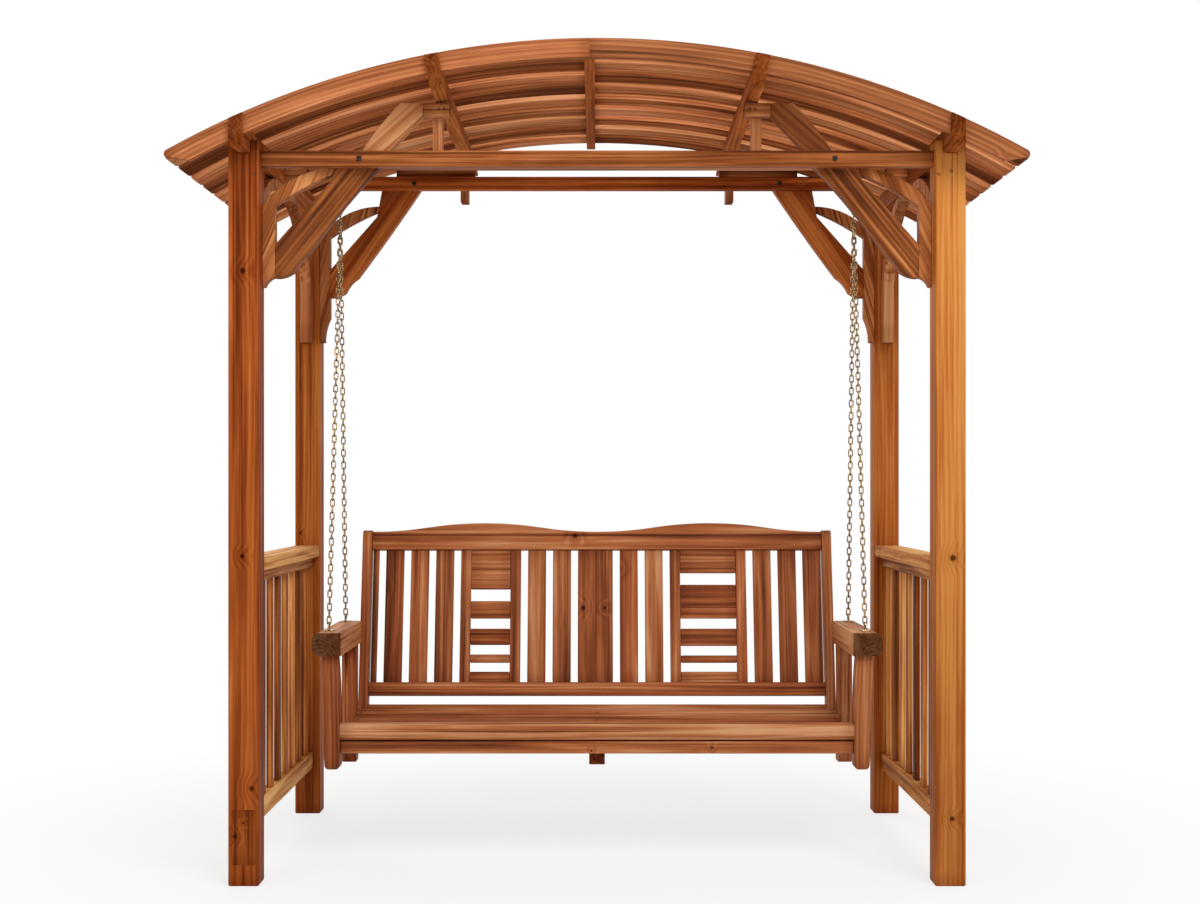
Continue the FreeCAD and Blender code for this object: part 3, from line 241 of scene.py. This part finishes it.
def timber(name, hues, figure=0.011, streak=55.0, knots=1.0, gloss=0.46, bold=1.0, variety=0.5,
           knot_spots=(), foot=0.0, shine=0.02, end_shade=END_SHADE):
    """Oiled wood, solid through the board: rings, streaks, pores and knots that follow the board.

    The four hues run from the palest early wood to the darkest streaks. Boards differ by the variety.
    The foot is how far the wood darkens towards the ground. The end shade is what dyes the end grain."""
    finish = bpy.data.materials.new(name)
    finish.use_nodes = True
    tree = finish.node_tree
    shader = tree.nodes["Principled BSDF"]
    grain = add(tree, "ShaderNodeAttribute", attribute_name="grain").outputs["Vector"]
    tone, sawn_end, arris, half = (
        add(tree, "ShaderNodeAttribute", attribute_name=layer).outputs["Fac"]
        for layer in ("tone", "sawn_end", "arris", "half_length"))

    # each board is cut from another place in the tree
    shift = add(tree, "ShaderNodeCombineXYZ", {
        i: maths(tree, "MULTIPLY", tone, apart) for i, apart in enumerate(CUT_APART)}).outputs[0]
    spot = vector_maths(tree, "ADD", grain, shift)

    def stretched(along, across, detail=3.0, rough=0.55):
        """Noise drawn out along the grain, centred on nought."""
        scaled = vector_maths(tree, "MULTIPLY", spot, (along, across, across))
        noise = add(tree, "ShaderNodeTexNoise", {
            "Vector": scaled, "Scale": 1.0, "Detail": detail, "Roughness": rough})
        return maths(tree, "SUBTRACT", noise.outputs["Fac"], 0.5)

    def falling(value, near, far, high=1.0):
        """A smooth step from the high value at the near distance to nought at the far one."""
        return add(tree, "ShaderNodeMapRange", {
            "Value": value, "From Min": near, "From Max": far, "To Min": high, "To Max": 0.0},
            interpolation_type="SMOOTHSTEP").outputs[0]

    # knots: round, each in a long cell of its own, and some at known places
    celled = vector_maths(tree, "MULTIPLY", spot, KNOT_CELL)
    cells = add(tree, "ShaderNodeTexVoronoi", {"Vector": celled, "Scale": 1.0, "Randomness": 0.9})
    away = vector_maths(tree, "SUBTRACT", celled, cells.outputs["Position"])
    to_knot = vector_maths(tree, "LENGTH", vector_maths(tree, "DIVIDE", away, KNOT_CELL))
    chance = add(tree, "ShaderNodeSeparateColor", {0: cells.outputs["Color"]}).outputs[0]
    present = maths(tree, "LESS_THAN", chance, KNOT_CHANCE * knots)
    knot = maths(tree, "MULTIPLY", falling(to_knot, *KNOT_EDGE), present)
    swirl = maths(tree, "MULTIPLY", falling(to_knot, 0.0, SWIRL_REACH), present)
    where = add(tree, "ShaderNodeTexCoord").outputs["Object"]
    for x, y, z, size in knot_spots:
        gap = vector_maths(tree, "DISTANCE", where, (x, y, z))
        knot = maths(tree, "MAXIMUM", knot, falling(gap, size * SPOT_EDGE[0], size * SPOT_EDGE[1]))
        swirl = maths(tree, "MAXIMUM", swirl, falling(gap, 0.0, size * SPOT_SWIRL))

    # growth rings round a heart that lies off the board's own axis
    parts = add(tree, "ShaderNodeSeparateXYZ", {0: grain}).outputs
    off_y, off_z = (maths(tree, "FRACT", maths(tree, "MULTIPLY", tone, turns)) for turns in HEART_TURNS)
    off_y = maths(tree, "SUBTRACT", off_y, 0.5)
    below = maths(tree, "MULTIPLY_ADD", off_z, HEART_OFF[1], HEART_LEAST)
    heart = add(tree, "ShaderNodeCombineXYZ", {
        1: maths(tree, "MULTIPLY_ADD", off_y, HEART_OFF[0], parts[1]),
        2: maths(tree, "ADD", below, parts[2])}).outputs[0]
    radius = vector_maths(tree, "LENGTH", heart)
    radius = maths(tree, "MULTIPLY_ADD", stretched(*WANDER_GRAIN, 2.0), RING_WANDER, radius)
    radius = maths(tree, "MULTIPLY_ADD", swirl, RING_SWELL, radius)
    ring = maths(tree, "FRACT", maths(tree, "DIVIDE", radius, figure))
    late, early = maths(tree, "POWER", ring, LATE_WOOD), maths(tree, "SUBTRACT", 1.0, ring)
    ring = maths(tree, "MULTIPLY", maths(tree, "MULTIPLY", late, early), RING_HEIGHT, clamp=True)

    # what crosses the rings: fibres, broad bands, clouds, pores and dark mineral lines
    fibre = stretched(FIBRE_ALONG, streak, 4.0, 0.62)
    broad = stretched(*BROAD_GRAIN, 2.0)
    cloud = stretched(*CLOUD_GRAIN, 3.0)
    pores = stretched(*PORE_GRAIN, 2.0)
    line = add(tree, "ShaderNodeMapRange", {
        "Value": stretched(LINE_ALONG, streak * LINE_FINER, 2.0),
        "From Min": LINE_EDGE[0], "From Max": LINE_EDGE[1]}).outputs[0]

    depth = maths(tree, "MULTIPLY_ADD", ring, RING_DEPTH, MID_DEPTH)
    for grows, amount in (
            (fibre, FIBRE_DEPTH * bold), (broad, BROAD_DEPTH * bold), (cloud, CLOUD_DEPTH * bold),
            (pores, PORE_DEPTH), (line, LINE_DEPTH * bold)):
        depth = maths(tree, "MULTIPLY_ADD", grows, amount, depth)
    depth = maths(tree, "MULTIPLY_ADD", maths(tree, "SUBTRACT", tone, 0.5), variety, depth, clamp=True)
    ramp = add(tree, "ShaderNodeValToRGB", {0: depth})
    stops = ramp.color_ramp.elements
    for stop in HUE_STOPS:
        stops.new(stop)
    for stop, hue in zip(stops, hues):
        stop.color = (*hue, 1)
    colour = ramp.outputs["Color"]

    def darker(colour, amount, shade):
        """A colour multiplied by a shade, in part."""
        multiply = add(tree, "ShaderNodeMix", {"Factor": amount, "A": colour, "B": (*shade, 1)},
                       data_type="RGBA", blend_type="MULTIPLY")
        return multiply.outputs["Result"]

    # some boards are redder, knots are darker, board ends darker by a painted shadow, end grain darkest,
    # and arrises worn pale
    redder = maths(tree, "FRACT", maths(tree, "MULTIPLY", tone, RED_TURNS))
    colour = darker(colour, maths(tree, "MULTIPLY", redder, min(1.0, RED_SHARE * variety)), RED_SHADE)
    colour = darker(colour, knot, KNOT_SHADE)
    colour = darker(colour, maths(tree, "MULTIPLY", swirl, SWIRL_SHARE), SWIRL_SHADE)
    # painted shadow: each board darkens towards its ends
    to_end = maths(tree, "SUBTRACT", half, maths(tree, "ABSOLUTE", parts[0]))
    ragged = maths(tree, "MULTIPLY_ADD", fibre, PAINTED_END_SHADOW_RAGGED, to_end)
    colour = darker(colour, falling(ragged, 0.0, PAINTED_END_SHADOW_REACH, PAINTED_END_SHADOW_SHARE), PAINTED_END_SHADOW)
    colour = darker(colour, maths(tree, "MULTIPLY", sawn_end, END_SHARE), end_shade)
    height = add(tree, "ShaderNodeSeparateXYZ", {0: where}).outputs[2]
    colour = darker(colour, falling(height, *FOOT_HEIGHTS, foot), FOOT_SHADE)
    rubbed = maths(tree, "MULTIPLY_ADD", cloud, WORN_PATCHES, WORN_SHARE, clamp=True)
    worn = add(tree, "ShaderNodeMix", {
        "Factor": maths(tree, "MULTIPLY", arris, rubbed), "A": colour, "B": (*hues[0], 1)},
        data_type="RGBA")
    tree.links.new(worn.outputs["Result"], shader.inputs["Base Color"])

    rough = maths(tree, "MULTIPLY_ADD", fibre, FIBRE_ROUGHNESS, gloss)
    rough = maths(tree, "MULTIPLY_ADD", sawn_end, END_ROUGHNESS, rough, clamp=True)
    tree.links.new(rough, shader.inputs["Roughness"])
    shader.inputs["Specular IOR Level"].default_value = shine
    relief = maths(tree, "MULTIPLY_ADD", pores, PORE_RELIEF, maths(tree, "ADD", fibre, ring))
    bump = add(tree, "ShaderNodeBump", {
        "Strength": RELIEF_STRENGTH, "Distance": RELIEF_HEIGHT, "Height": relief})
    tree.links.new(bump.outputs[0], shader.inputs["Normal"])
    return finish


# how a board is made: its construction mesh is welded, its arrises eased and its grain laid along it
END_GRAIN = (0.6, 0.9)
WELD = 1e-6
FLAT = math.radians(0.5)
ARRIS = math.radians(35)
SHADE_SMOOTH = 40
TONE_SPREAD = 0.02
SPREAD_DIGITS = 9
UPRIGHT = np.array(((0, 0, 1), (1, 0, 0), (0, 1, 0)))

record = frame["record"]
body_of_node = {node: body for body, nodes in record["behaviour"]["bodies"].items() for node in nodes}


def islands(shape):
    """The separate boards of a mesh, as lists of faces."""
    left = set(shape.faces)
    found = []
    for face in shape.faces:
        if face not in left:
            continue
        group, queue = [], [face]
        left.discard(face)
        while queue:
            here = queue.pop()
            group.append(here)
            for edge in here.edges:
                for beside in edge.link_faces:
                    if beside in left:
                        left.discard(beside)
                        queue.append(beside)
        found.append(group)
    return found


def own_axes(points):
    """A board's middle and its three directions, the longest first."""
    middle = (points.max(0) + points.min(0)) / 2
    spread, axes = np.linalg.eigh(np.round(np.cov((points - points.mean(0)).T), SPREAD_DIGITS))
    axes = axes[:, np.argsort(-spread)].T
    local = (points - middle) @ axes.T
    middle = middle + ((local.max(0) + local.min(0)) / 2) @ axes
    return middle, axes


def board_place(group):
    """Where a board lies, to sort boards from left to right, then from front to back and upwards."""
    points = np.array([v.co for face in group for v in face.verts])
    return [round(float(c), 2) for c in (points.max(0) + points.min(0)) / 2]


def cleaned(node):
    """The construction mesh of a piece: each solid welded by itself, its flat sides whole."""
    mesh = frame["nodes"][node].data
    shape = bmesh.new()
    corners, unpaired = {}, set()
    for side in mesh.polygons:
        places = [mesh.vertices[v].co for v in side.vertices]
        keys = [tuple(round(c / WELD) for c in place) for place in places]
        if len(set(keys)) < len(keys):
            continue
        for key, place in zip(keys, places):
            if key not in corners:
                corners[key] = shape.verts.new(place)
        shape.faces.new([corners[key] for key in keys])
        unpaired ^= {frozenset(edge) for edge in zip(keys, keys[1:] + keys[:1])}
        if not unpaired:
            corners = {}
    bmesh.ops.dissolve_limit(shape, angle_limit=FLAT, verts=shape.verts, edges=shape.edges)
    return shape


def made(name, shape, finish, body, smooth=SHADE_SMOOTH):
    """A mesh as a visible piece that rides on a body."""
    mesh = bpy.data.meshes.new(name)
    shape.to_mesh(mesh)
    shape.free()
    mesh.materials.append(finish)
    mesh.polygons.foreach_set("use_smooth", [True] * len(mesh.polygons))
    mesh.set_sharp_from_angle(angle=math.radians(smooth))
    piece = bpy.data.objects.new(name, mesh)
    bpy.context.collection.objects.link(piece)
    weighted = piece.modifiers.new("flat_sides", "WEIGHTED_NORMAL")
    weighted.keep_sharp = True
    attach(piece, body)
    return piece


def shown(name, shape, finish, node, smooth=SHADE_SMOOTH):
    """Make a mesh the visible form of a construction node, riding where that node rides."""
    piece = made(name, shape, finish, body_of_node[node], smooth)
    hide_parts(node)
    return piece


def grained(shape, seed, ease, bend=None, tones=None, level=None, steps=2, upright=False):
    """Planed timber: arrises eased, and every board given its own grain, along it or along a bend.

    A board's tone, from pale to dark, is by chance or the next of those given. Where a face cuts across
    the grain, the end grain shows. Boards wider than the level width have their grain from side to side,
    and upright ones from the ground up."""
    sharp = [e for e in shape.edges if len(e.link_faces) == 2 and e.calc_face_angle() > ARRIS]
    eased = bmesh.ops.bevel(
        shape, geom=sharp, offset=ease, segments=steps, profile=0.5, affect="EDGES", clamp_overlap=True)
    arrises = set(eased["faces"])
    bmesh.ops.dissolve_degenerate(shape, dist=WELD, edges=shape.edges)
    grain = shape.verts.layers.float_vector.new("grain")
    layers = {
        name: shape.faces.layers.float.new(name) for name in ("tone", "half_length", "sawn_end", "arris")}
    dice = random.Random(seed)
    boards = sorted(islands(shape), key=board_place)
    for i, group in enumerate(boards):
        verts = list(dict.fromkeys(v for face in group for v in face.verts))
        points = np.array([v.co for v in verts])
        if bend:
            centre, outside = bend
            turn = np.arctan2(points[:, 0] - centre[0], points[:, 2] - centre[1])
            reach = np.hypot(points[:, 0] - centre[0], points[:, 2] - centre[1])
            local = np.column_stack([turn * outside, points[:, 1], reach - outside])
            local -= (local.max(0) + local.min(0)) / 2
        else:
            middle, axes = own_axes(points)
            if level and np.ptp(points[:, 0]) > level:
                axes = axes[np.argsort(-np.abs(axes[:, 0]))]
            if upright:
                axes = UPRIGHT
            local = (points - middle) @ axes.T
        for vert, place in zip(verts, local):
            vert[grain] = place
        half = (local[:, 0].max() - local[:, 0].min()) / 2
        tone = tones[i % len(tones)] + TONE_SPREAD * dice.random() if tones else dice.random()
        for face in group:
            face[layers["tone"]] = tone
            face[layers["half_length"]] = half
            face[layers["arris"]] = 1.0 if face in arrises else 0.0
            if bend:
                spot = face.calc_center_median()
                along = Vector((spot.z - centre[1], 0, centre[0] - spot.x)).normalized()
            else:
                along = Vector(axes[0])
            cut = abs(face.normal.dot(along))
            across = (cut - END_GRAIN[0]) / (END_GRAIN[1] - END_GRAIN[0])
            face[layers["sawn_end"]] = min(1.0, max(0.0, across))
    return layers


def planed(node, finish, ease, **grain):
    """The timber form of a construction node."""
    shape = cleaned(node)
    grained(shape, node, ease, **grain)
    return shown(node + "_timber", shape, finish, node)


post_wood = timber("post_oiled_wood", POST_HUES, bold=1.15, variety=0.75, knot_spots=POST_KNOTS, foot=0.4)
for node, tone in POST_TONES.items():
    planed(node, post_wood, POST_EASE, tones=[tone])

# Patch: a piece let into the front left post's foot, where a knot was cut out.
# It is glued flush, so only its dark joint line and another grain show.

PATCH_MIDDLE = (-0.9245, -0.5391, 0.128)
PATCH_SIZE = (0.061, 0.0030, 0.144)
PATCH_JOINT = 0.0006
PATCH_TONE = 0.62
PATCH_FACE = 0.99

patch = bmesh.new()
bmesh.ops.create_cube(patch, matrix=Matrix.Translation(PATCH_MIDDLE) @ Matrix.Diagonal((*PATCH_SIZE, 1)))
layers = grained(patch, "patch", PATCH_JOINT, tones=[PATCH_TONE])
for face in patch.faces:
    if face.normal.y > -PATCH_FACE:
        face[layers["sawn_end"]] = 1.0
        face[layers["arris"]] = 0.0
made("post_patch_timber", patch, post_wood, "frame")

# Purlins: timbers laid from front to back in the post tops and on the king posts, paler than the posts.
# The batten under the middle of the roof is a thin strip that the slats' joints are screwed to.

PURLIN_HUES = ((0.750, 0.300, 0.090), (0.510, 0.165, 0.041), (0.285, 0.075, 0.017), (0.120, 0.028, 0.007))
PURLINS = ("eave_purlin_left", "eave_purlin_right", "mid_purlin_left", "mid_purlin_right", "ridge_batten")
PURLIN_EASE = 0.002

purlin_wood = timber("purlin_oiled_wood", PURLIN_HUES, gloss=0.7)
for node in PURLINS:
    planed(node, purlin_wood, PURLIN_EASE)

# Roof: thin laths bent over the purlins, each a different red or brown, and a deeper fascia in front.
# Their grain runs round the bend, and their outer ends are rounded and dark.

ROOF_HUES = ((0.810, 0.420, 0.210), (0.555, 0.219, 0.087), (0.300, 0.099, 0.035), (0.120, 0.042, 0.017))
ROOF_EASE = 0.002
ARCH_RADIUS = 2.27
ROOF_TONES = {
    "roof_slats_left": (0.25, 0.80, 0.40, 0.95, 0.15, 0.70),
    "roof_slats_right": (0.75, 0.20, 0.90, 0.45, 0.65, 0.05)}
FASCIA_TONES = {"fascia_left": (0.655,), "fascia_right": (0.60,)}

arch_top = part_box("roof_slats_right")[1].z
arch = ((0.0, arch_top - ARCH_RADIUS), ARCH_RADIUS)
roof_wood = timber("roof_oiled_lath", ROOF_HUES, figure=0.008, streak=60.0, knots=0.6, gloss=0.8,
                   bold=1.4, variety=0.7, shine=0.0)
for node, tones in ROOF_TONES.items():
    planed(node, roof_wood, ROOF_EASE, bend=arch, tones=tones)
fascia_wood = timber("fascia_oiled_board", ROOF_HUES, knots=0.6, gloss=0.7, bold=0.95)
for node, tones in FASCIA_TONES.items():
    planed(node, fascia_wood, ROOF_EASE, bend=arch, tones=tones)

# Beams, struts and ties: planed bars across the front, the back and the middle, with shaped struts.
# The struts are bolted behind the beams, and short ties and king posts carry the mid purlins on them.

BRACE_HUES = ((0.660, 0.300, 0.112), (0.445, 0.162, 0.051), (0.248, 0.074, 0.020), (0.099, 0.028, 0.010))
# the rear beam and rear struts take a darker copy of the brace hues: painted shade for the roof's shadow
# on the back of the frame
SHADED_REAR_HUES = ((0.560, 0.175, 0.042), (0.380, 0.094, 0.019), (0.210, 0.043, 0.008), (0.085, 0.016, 0.004))
BRACE_EASE = 0.0025
BRACE_BOLD = 1.8
BRACE_TONES = {
    "front_beam": (0.58,), "rear_beam": (0.40,), "swing_beam": None, "ties": (0.40, 0.50),
    "strut_front_left": (0.78,), "strut_front_right": (0.70,), "strut_rear_left": (0.16,),
    "strut_rear_right": (0.10,), "hangers_left": (0.45, 0.30), "hangers_right": (0.40, 0.55)}

brace_wood = timber("brace_oiled_wood", BRACE_HUES, bold=BRACE_BOLD)
# painted shade: the pieces at the back get the darker copy of the brace wood
shaded_rear_wood = timber("rear_brace_shaded_wood", SHADED_REAR_HUES, bold=BRACE_BOLD)
for node, tones in BRACE_TONES.items():
    planed(node, shaded_rear_wood if "rear" in node else brace_wood, BRACE_EASE, tones=tones)

# Upper struts, king posts and knee braces: the same work in a drier, paler timber.
# The knee braces stand in the side frames, each bent from a post up to the eave purlin.

PALE_HUES = ((0.750, 0.405, 0.195), (0.555, 0.232, 0.090), (0.315, 0.108, 0.036), (0.128, 0.039, 0.013))
PALE_TONES = {
    "upper_struts": (0.12, 0.72), "king_posts": (0.30, 0.45), "knee_braces_left": (0.20, 0.40),
    "knee_braces_right": (0.15, 0.35)}

pale_wood = timber("pale_dry_wood", PALE_HUES, gloss=0.6, bold=1.3, variety=0.7)
for node, tones in PALE_TONES.items():
    planed(node, pale_wood, BRACE_EASE, tones=tones, upright="knee" in node)

# Side panels: a cap and two rails between the posts with upright slats, in a paler, drier tan wood.
# They are nailed together as ladders and fixed between the posts.

PANEL_HUES = ((0.860, 0.510, 0.180), (0.555, 0.217, 0.054), (0.255, 0.075, 0.015), (0.105, 0.027, 0.006))
PANEL_EASE = 0.002
PANEL_TONES = {
    "side_cap_": (0.04,), "side_top_rail_": (0.42,), "side_bottom_rail_": (0.34,),
    "side_slats_": (0.15, 0.70, 0.30, 0.90, 0.45)}

panel_wood = timber("panel_dry_wood", PANEL_HUES, gloss=0.55, variety=0.8, bold=1.5)
for part, tones in PANEL_TONES.items():
    for side in ("left", "right"):
        planed(part + side, panel_wood, PANEL_EASE, tones=tones)

# Coach bolts: dark square iron heads on the faces of the beams, forged and blackened.
# They draw the struts and ties up behind the beams.

BOLT_COLOUR = (0.055, 0.045, 0.038, 1)
BOLT_EASE = 0.0012
TARNISH_EDGE = (0.40, 0.60)
TARNISH_ROUGHNESS = 0.3


def metal(name, colour, roughness, mottle, scale):
    """Worn metal: its colour and roughness vary in small patches, darker by the mottle."""
    finish = bpy.data.materials.new(name)
    finish.use_nodes = True
    tree = finish.node_tree
    shader = tree.nodes["Principled BSDF"]
    shader.inputs["Metallic"].default_value = 1.0
    place = add(tree, "ShaderNodeTexCoord").outputs["Object"]
    noise = add(tree, "ShaderNodeTexNoise", {"Vector": place, "Scale": scale, "Detail": 4.0})
    patch = add(tree, "ShaderNodeMapRange", {
        "Value": noise.outputs["Fac"],
        "From Min": TARNISH_EDGE[0], "From Max": TARNISH_EDGE[1]}).outputs[0]
    tarnished = (*[c * (1 - mottle) for c in colour[:3]], 1)
    colours = add(tree, "ShaderNodeMix", {"Factor": patch, "A": colour, "B": tarnished}, data_type="RGBA")
    tree.links.new(colours.outputs["Result"], shader.inputs["Base Color"])
    rough = maths(tree, "MULTIPLY_ADD", patch, TARNISH_ROUGHNESS, roughness - TARNISH_ROUGHNESS / 2)
    tree.links.new(rough, shader.inputs["Roughness"])
    return finish


bolt_iron = metal("bolt_iron", BOLT_COLOUR, roughness=0.6, mottle=0.6, scale=300.0)
bolts = cleaned("coach_bolts")
sharp = [e for e in bolts.edges if e.calc_face_angle() > ARRIS]
bmesh.ops.bevel(bolts, geom=sharp, offset=BOLT_EASE, segments=2, profile=0.5, affect="EDGES")
shown("coach_bolts_heads", bolts, bolt_iron, "coach_bolts")

# Screws: small dark iron heads, countersunk, with a round recess, driven by hand.
# They hold the front beam to the posts, the ties to the struts, the laths to the purlins
# and the seat's slats to its bearers.

SCREW_RADIUS = 0.0042
SCREW_SIDES = 12
SCREW_PROFILE = ((1.0, -0.0012), (1.0, 0.0), (0.88, 0.0003), (0.52, 0.0002), (0.42, -0.0005))
POST_SCREWS = ((0.926, 1.871), (0.894, 1.863))
TIE_SCREWS = ((0.404, 2.045), (0.418, 2.045))
BEAM_SCREW_Y = -0.540
TIE_SCREW_Y = -0.488
BEARERS = (-0.699, 0.0, 0.699)
SCREW_SMOOTH = 30


def screw_head(shape, place, facing):
    """One turned head, sunk in the wood along the way it faces."""
    aside = facing.orthogonal().normalized()
    across = facing.cross(aside)
    rings = []
    for share, rise in SCREW_PROFILE:
        turns = (2 * math.pi * k / SCREW_SIDES for k in range(SCREW_SIDES))
        rings.append([shape.verts.new(
            place + facing * rise + (aside * math.cos(a) + across * math.sin(a)) * SCREW_RADIUS * share)
            for a in turns])
    for low, high in zip(rings, rings[1:]):
        for k in range(SCREW_SIDES):
            after = (k + 1) % SCREW_SIDES
            shape.faces.new((low[k], low[after], high[after], high[k]))
    shape.faces.new(rings[-1])
    shape.faces.new(rings[0][::-1])


frame_screws = bmesh.new()
for spots, depth in ((POST_SCREWS, BEAM_SCREW_Y), (TIE_SCREWS, TIE_SCREW_Y)):
    for x, z in spots:
        for side in (-1, 1):
            screw_head(frame_screws, Vector((side * x, depth, z)), Vector((0, -1, 0)))
purlin_places = sorted((low.x + high.x) / 2 for low, high in map(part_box, PURLINS))
for node in ROOF_TONES:
    laths = cleaned(node)
    for group in islands(laths):
        points = np.array([v.co for face in group for v in face.verts])
        low, high = points.min(0), points.max(0)
        for x in purlin_places:
            if low[0] + 2 * SCREW_RADIUS < x < high[0] - 2 * SCREW_RADIUS:
                facing = Vector((x, 0, math.sqrt(ARCH_RADIUS ** 2 - x ** 2))).normalized()
                place = Vector((0, (low[1] + high[1]) / 2, arch_top - ARCH_RADIUS)) + facing * ARCH_RADIUS
                screw_head(frame_screws, place, facing)
    laths.free()
bmesh.ops.recalc_face_normals(frame_screws, faces=frame_screws.faces)
made("frame_screw_heads", frame_screws, bolt_iron, "frame", smooth=SCREW_SMOOTH)

seat_screws = bmesh.new()
slats = cleaned("seat_slats")
for group in islands(slats):
    points = np.array([v.co for v in dict.fromkeys(v for face in group for v in face.verts)])
    middle, axes = own_axes(points)
    facing = Vector(axes[2] if axes[2][2] > 0 else -axes[2])
    along = Vector(axes[0] if axes[0][0] > 0 else -axes[0])
    thick = float(np.ptp((points - middle) @ axes[2]))
    for x in BEARERS:
        screw_head(seat_screws, Vector(middle) + along * (x - middle[0]) + facing * thick / 2, facing)
slats.free()
bmesh.ops.recalc_face_normals(seat_screws, faces=seat_screws.faces)
made("seat_screw_heads", seat_screws, bolt_iron, "seat", smooth=SCREW_SMOOTH)

# Hooks, rings and pad eyes: steel fittings plated with a brassy tint and tarnished in patches.
# The hooks are screwed up into the swing beam, and the eyes are screwed down on the arms.

STEEL = (0.62, 0.40, 0.19, 1)
FITTING_EASES = {"hooks": 0.0004, "rings": 0.0021, "arm_eyes": 0.0010}
FITTING_ARRIS = math.radians(60)
FITTING_SMOOTH = 50

chain_steel = metal("brassy_steel", STEEL, roughness=0.32, mottle=0.93, scale=260.0)
for node, ease in FITTING_EASES.items():
    fitting = cleaned(node)
    sharp = [e for e in fitting.edges if e.calc_face_angle() > FITTING_ARRIS]
    bmesh.ops.bevel(
        fitting, geom=sharp, offset=ease, segments=3, profile=0.5, affect="EDGES", clamp_overlap=True)
    shown(node + "_steel", fitting, chain_steel, node, smooth=FITTING_SMOOTH)

# Chains: welded links of round bar, each a quarter turn from the next and hanging in it.
# Every link is bent from straight bar to a long loop with half-round ends.

LINK_BAR = 0.0038
BAR_SIDES = 8
END_STEPS = 7
LINK_SMOOTH = 80


def round_link(shape, middle, up, broad, length, width):
    """A loop of round bar: half-round ends joined by straight sides."""
    thick = up.cross(broad)
    end_radius = (width - LINK_BAR) / 2
    straight = (length - LINK_BAR) / 2 - end_radius
    line = []
    for way in (1, -1):
        for step in range(END_STEPS + 1):
            turn = math.pi * step / END_STEPS
            across = way * end_radius * math.cos(turn)
            along = way * (straight + end_radius * math.sin(turn))
            line.append((across, along, turn, way))
    rings = []
    for across, along, turn, way in line:
        outward = broad * (way * math.cos(turn)) + up * (way * math.sin(turn))
        centre = middle + broad * across + up * along
        rings.append([
            shape.verts.new(centre + (outward * math.cos(a) + thick * math.sin(a)) * LINK_BAR / 2)
            for a in (2 * math.pi * k / BAR_SIDES for k in range(BAR_SIDES))])
    for here, there in zip(rings, rings[1:] + rings[:1]):
        for k in range(BAR_SIDES):
            after = (k + 1) % BAR_SIDES
            shape.faces.new((here[k], here[after], there[after], there[k]))


for node in ("upper_chains", "front_chains", "rear_chains"):
    loops = cleaned(node)
    links = bmesh.new()
    for group in islands(loops):
        points = np.array([v.co for v in dict.fromkeys(v for face in group for v in face.verts)])
        middle, axes = own_axes(points)
        local = (points - middle) @ axes.T
        length, width, _ = local.max(0) - local.min(0)
        round_link(links, Vector(middle), Vector(axes[0]), Vector(axes[1]), length, width)
    loops.free()
    bmesh.ops.recalc_face_normals(links, faces=links.faces)
    shown(node + "_links", links, chain_steel, node, smooth=LINK_SMOOTH)

# Bench: arms on shaped legs, a leaning back of slats and ladder panels, and a hollowed slatted seat.
# Reddish oiled hardwood, screwed and glued, with arms of a paler, drier wood that are well rounded.

BENCH_HUES = ((0.618, 0.310, 0.150), (0.417, 0.141, 0.049), (0.232, 0.066, 0.023), (0.085, 0.025, 0.010))
ARM_HUES = ((0.800, 0.430, 0.195), (0.560, 0.240, 0.090), (0.310, 0.105, 0.036), (0.120, 0.036, 0.012))
ARM_TONES = (0.085, 0.085)
ARM_END_SHADE = (0.10, 0.075, 0.065)
ARM_EASE = 0.009
BENCH_EASE = 0.003
BENCH_TONES = {
    "front_legs": (0.62, 0.50), "rear_legs": (0.40, 0.50), "back_posts": (0.38, 0.34),
    "back_top_rail": (0.45,), "back_bottom_rail": (0.55,), "rear_seat_rail": (0.50,),
    "back_slats": (0.60, 0.71, 0.45, 0.58, 0.50, 0.66, 0.70, 0.52, 0.50, 0.34, 0.45, 0.60, 0.52),
    "back_panel_left": (0.58, 0.30, 0.52, 0.66, 0.44, 0.36, 0.60),
    "back_panel_right": (0.52, 0.24, 0.48, 0.70, 0.40),
    "seat_bearers": None, "seat_slats": (0.12, 0.02, 0.22, 0.06, 0.30, 0.10), "seat_apron": (0.45,)}
PANEL_BOARD = 0.08
BENCH_KNOTS = (
    (-0.042, 0.171, 0.678, 0.009), (0.024, 0.171, 0.678, 0.007), (-0.067, 0.210, 0.894, 0.009),
    (-0.015, -0.263, 0.312, 0.004), (0.319, -0.263, 0.321, 0.004))

arm_wood = timber("arm_dry_wood", ARM_HUES, variety=0.65, bold=1.4, end_shade=ARM_END_SHADE)
planed("arms", arm_wood, ARM_EASE, tones=ARM_TONES, steps=4)
bench_wood = timber("bench_oiled_wood", BENCH_HUES, variety=0.65, bold=1.5, shine=0.04,
                    knot_spots=BENCH_KNOTS)
for node, tones in BENCH_TONES.items():
    planed(node, bench_wood, BENCH_EASE, tones=tones, level=PANEL_BOARD if "panel" in node else None)

# Nose: the rounded front board of the seat, with a low tongue along its back that meets the apron.
# The tongue closes the joint, so that only a dark groove shows between the two boards; the tongue's dark
# tone is painted shade in that groove.

# the nose's own tone, then the tongue's dark tone, which is painted shade
NOSE_AND_SHADED_TONGUE_TONES = (0.16, 0.90)
NOSE_EASE = 0.0025
TONGUE_MIDDLE = (0.0, -0.2450, 0.340)
TONGUE_SIZE = (1.42, 0.009, 0.006)

nose = cleaned("seat_nose")
bmesh.ops.create_cube(nose, matrix=Matrix.Translation(TONGUE_MIDDLE) @ Matrix.Diagonal((*TONGUE_SIZE, 1)))
grained(nose, "seat_nose", NOSE_EASE, tones=NOSE_AND_SHADED_TONGUE_TONES)
shown("seat_nose_timber", nose, bench_wood, "seat_nose")
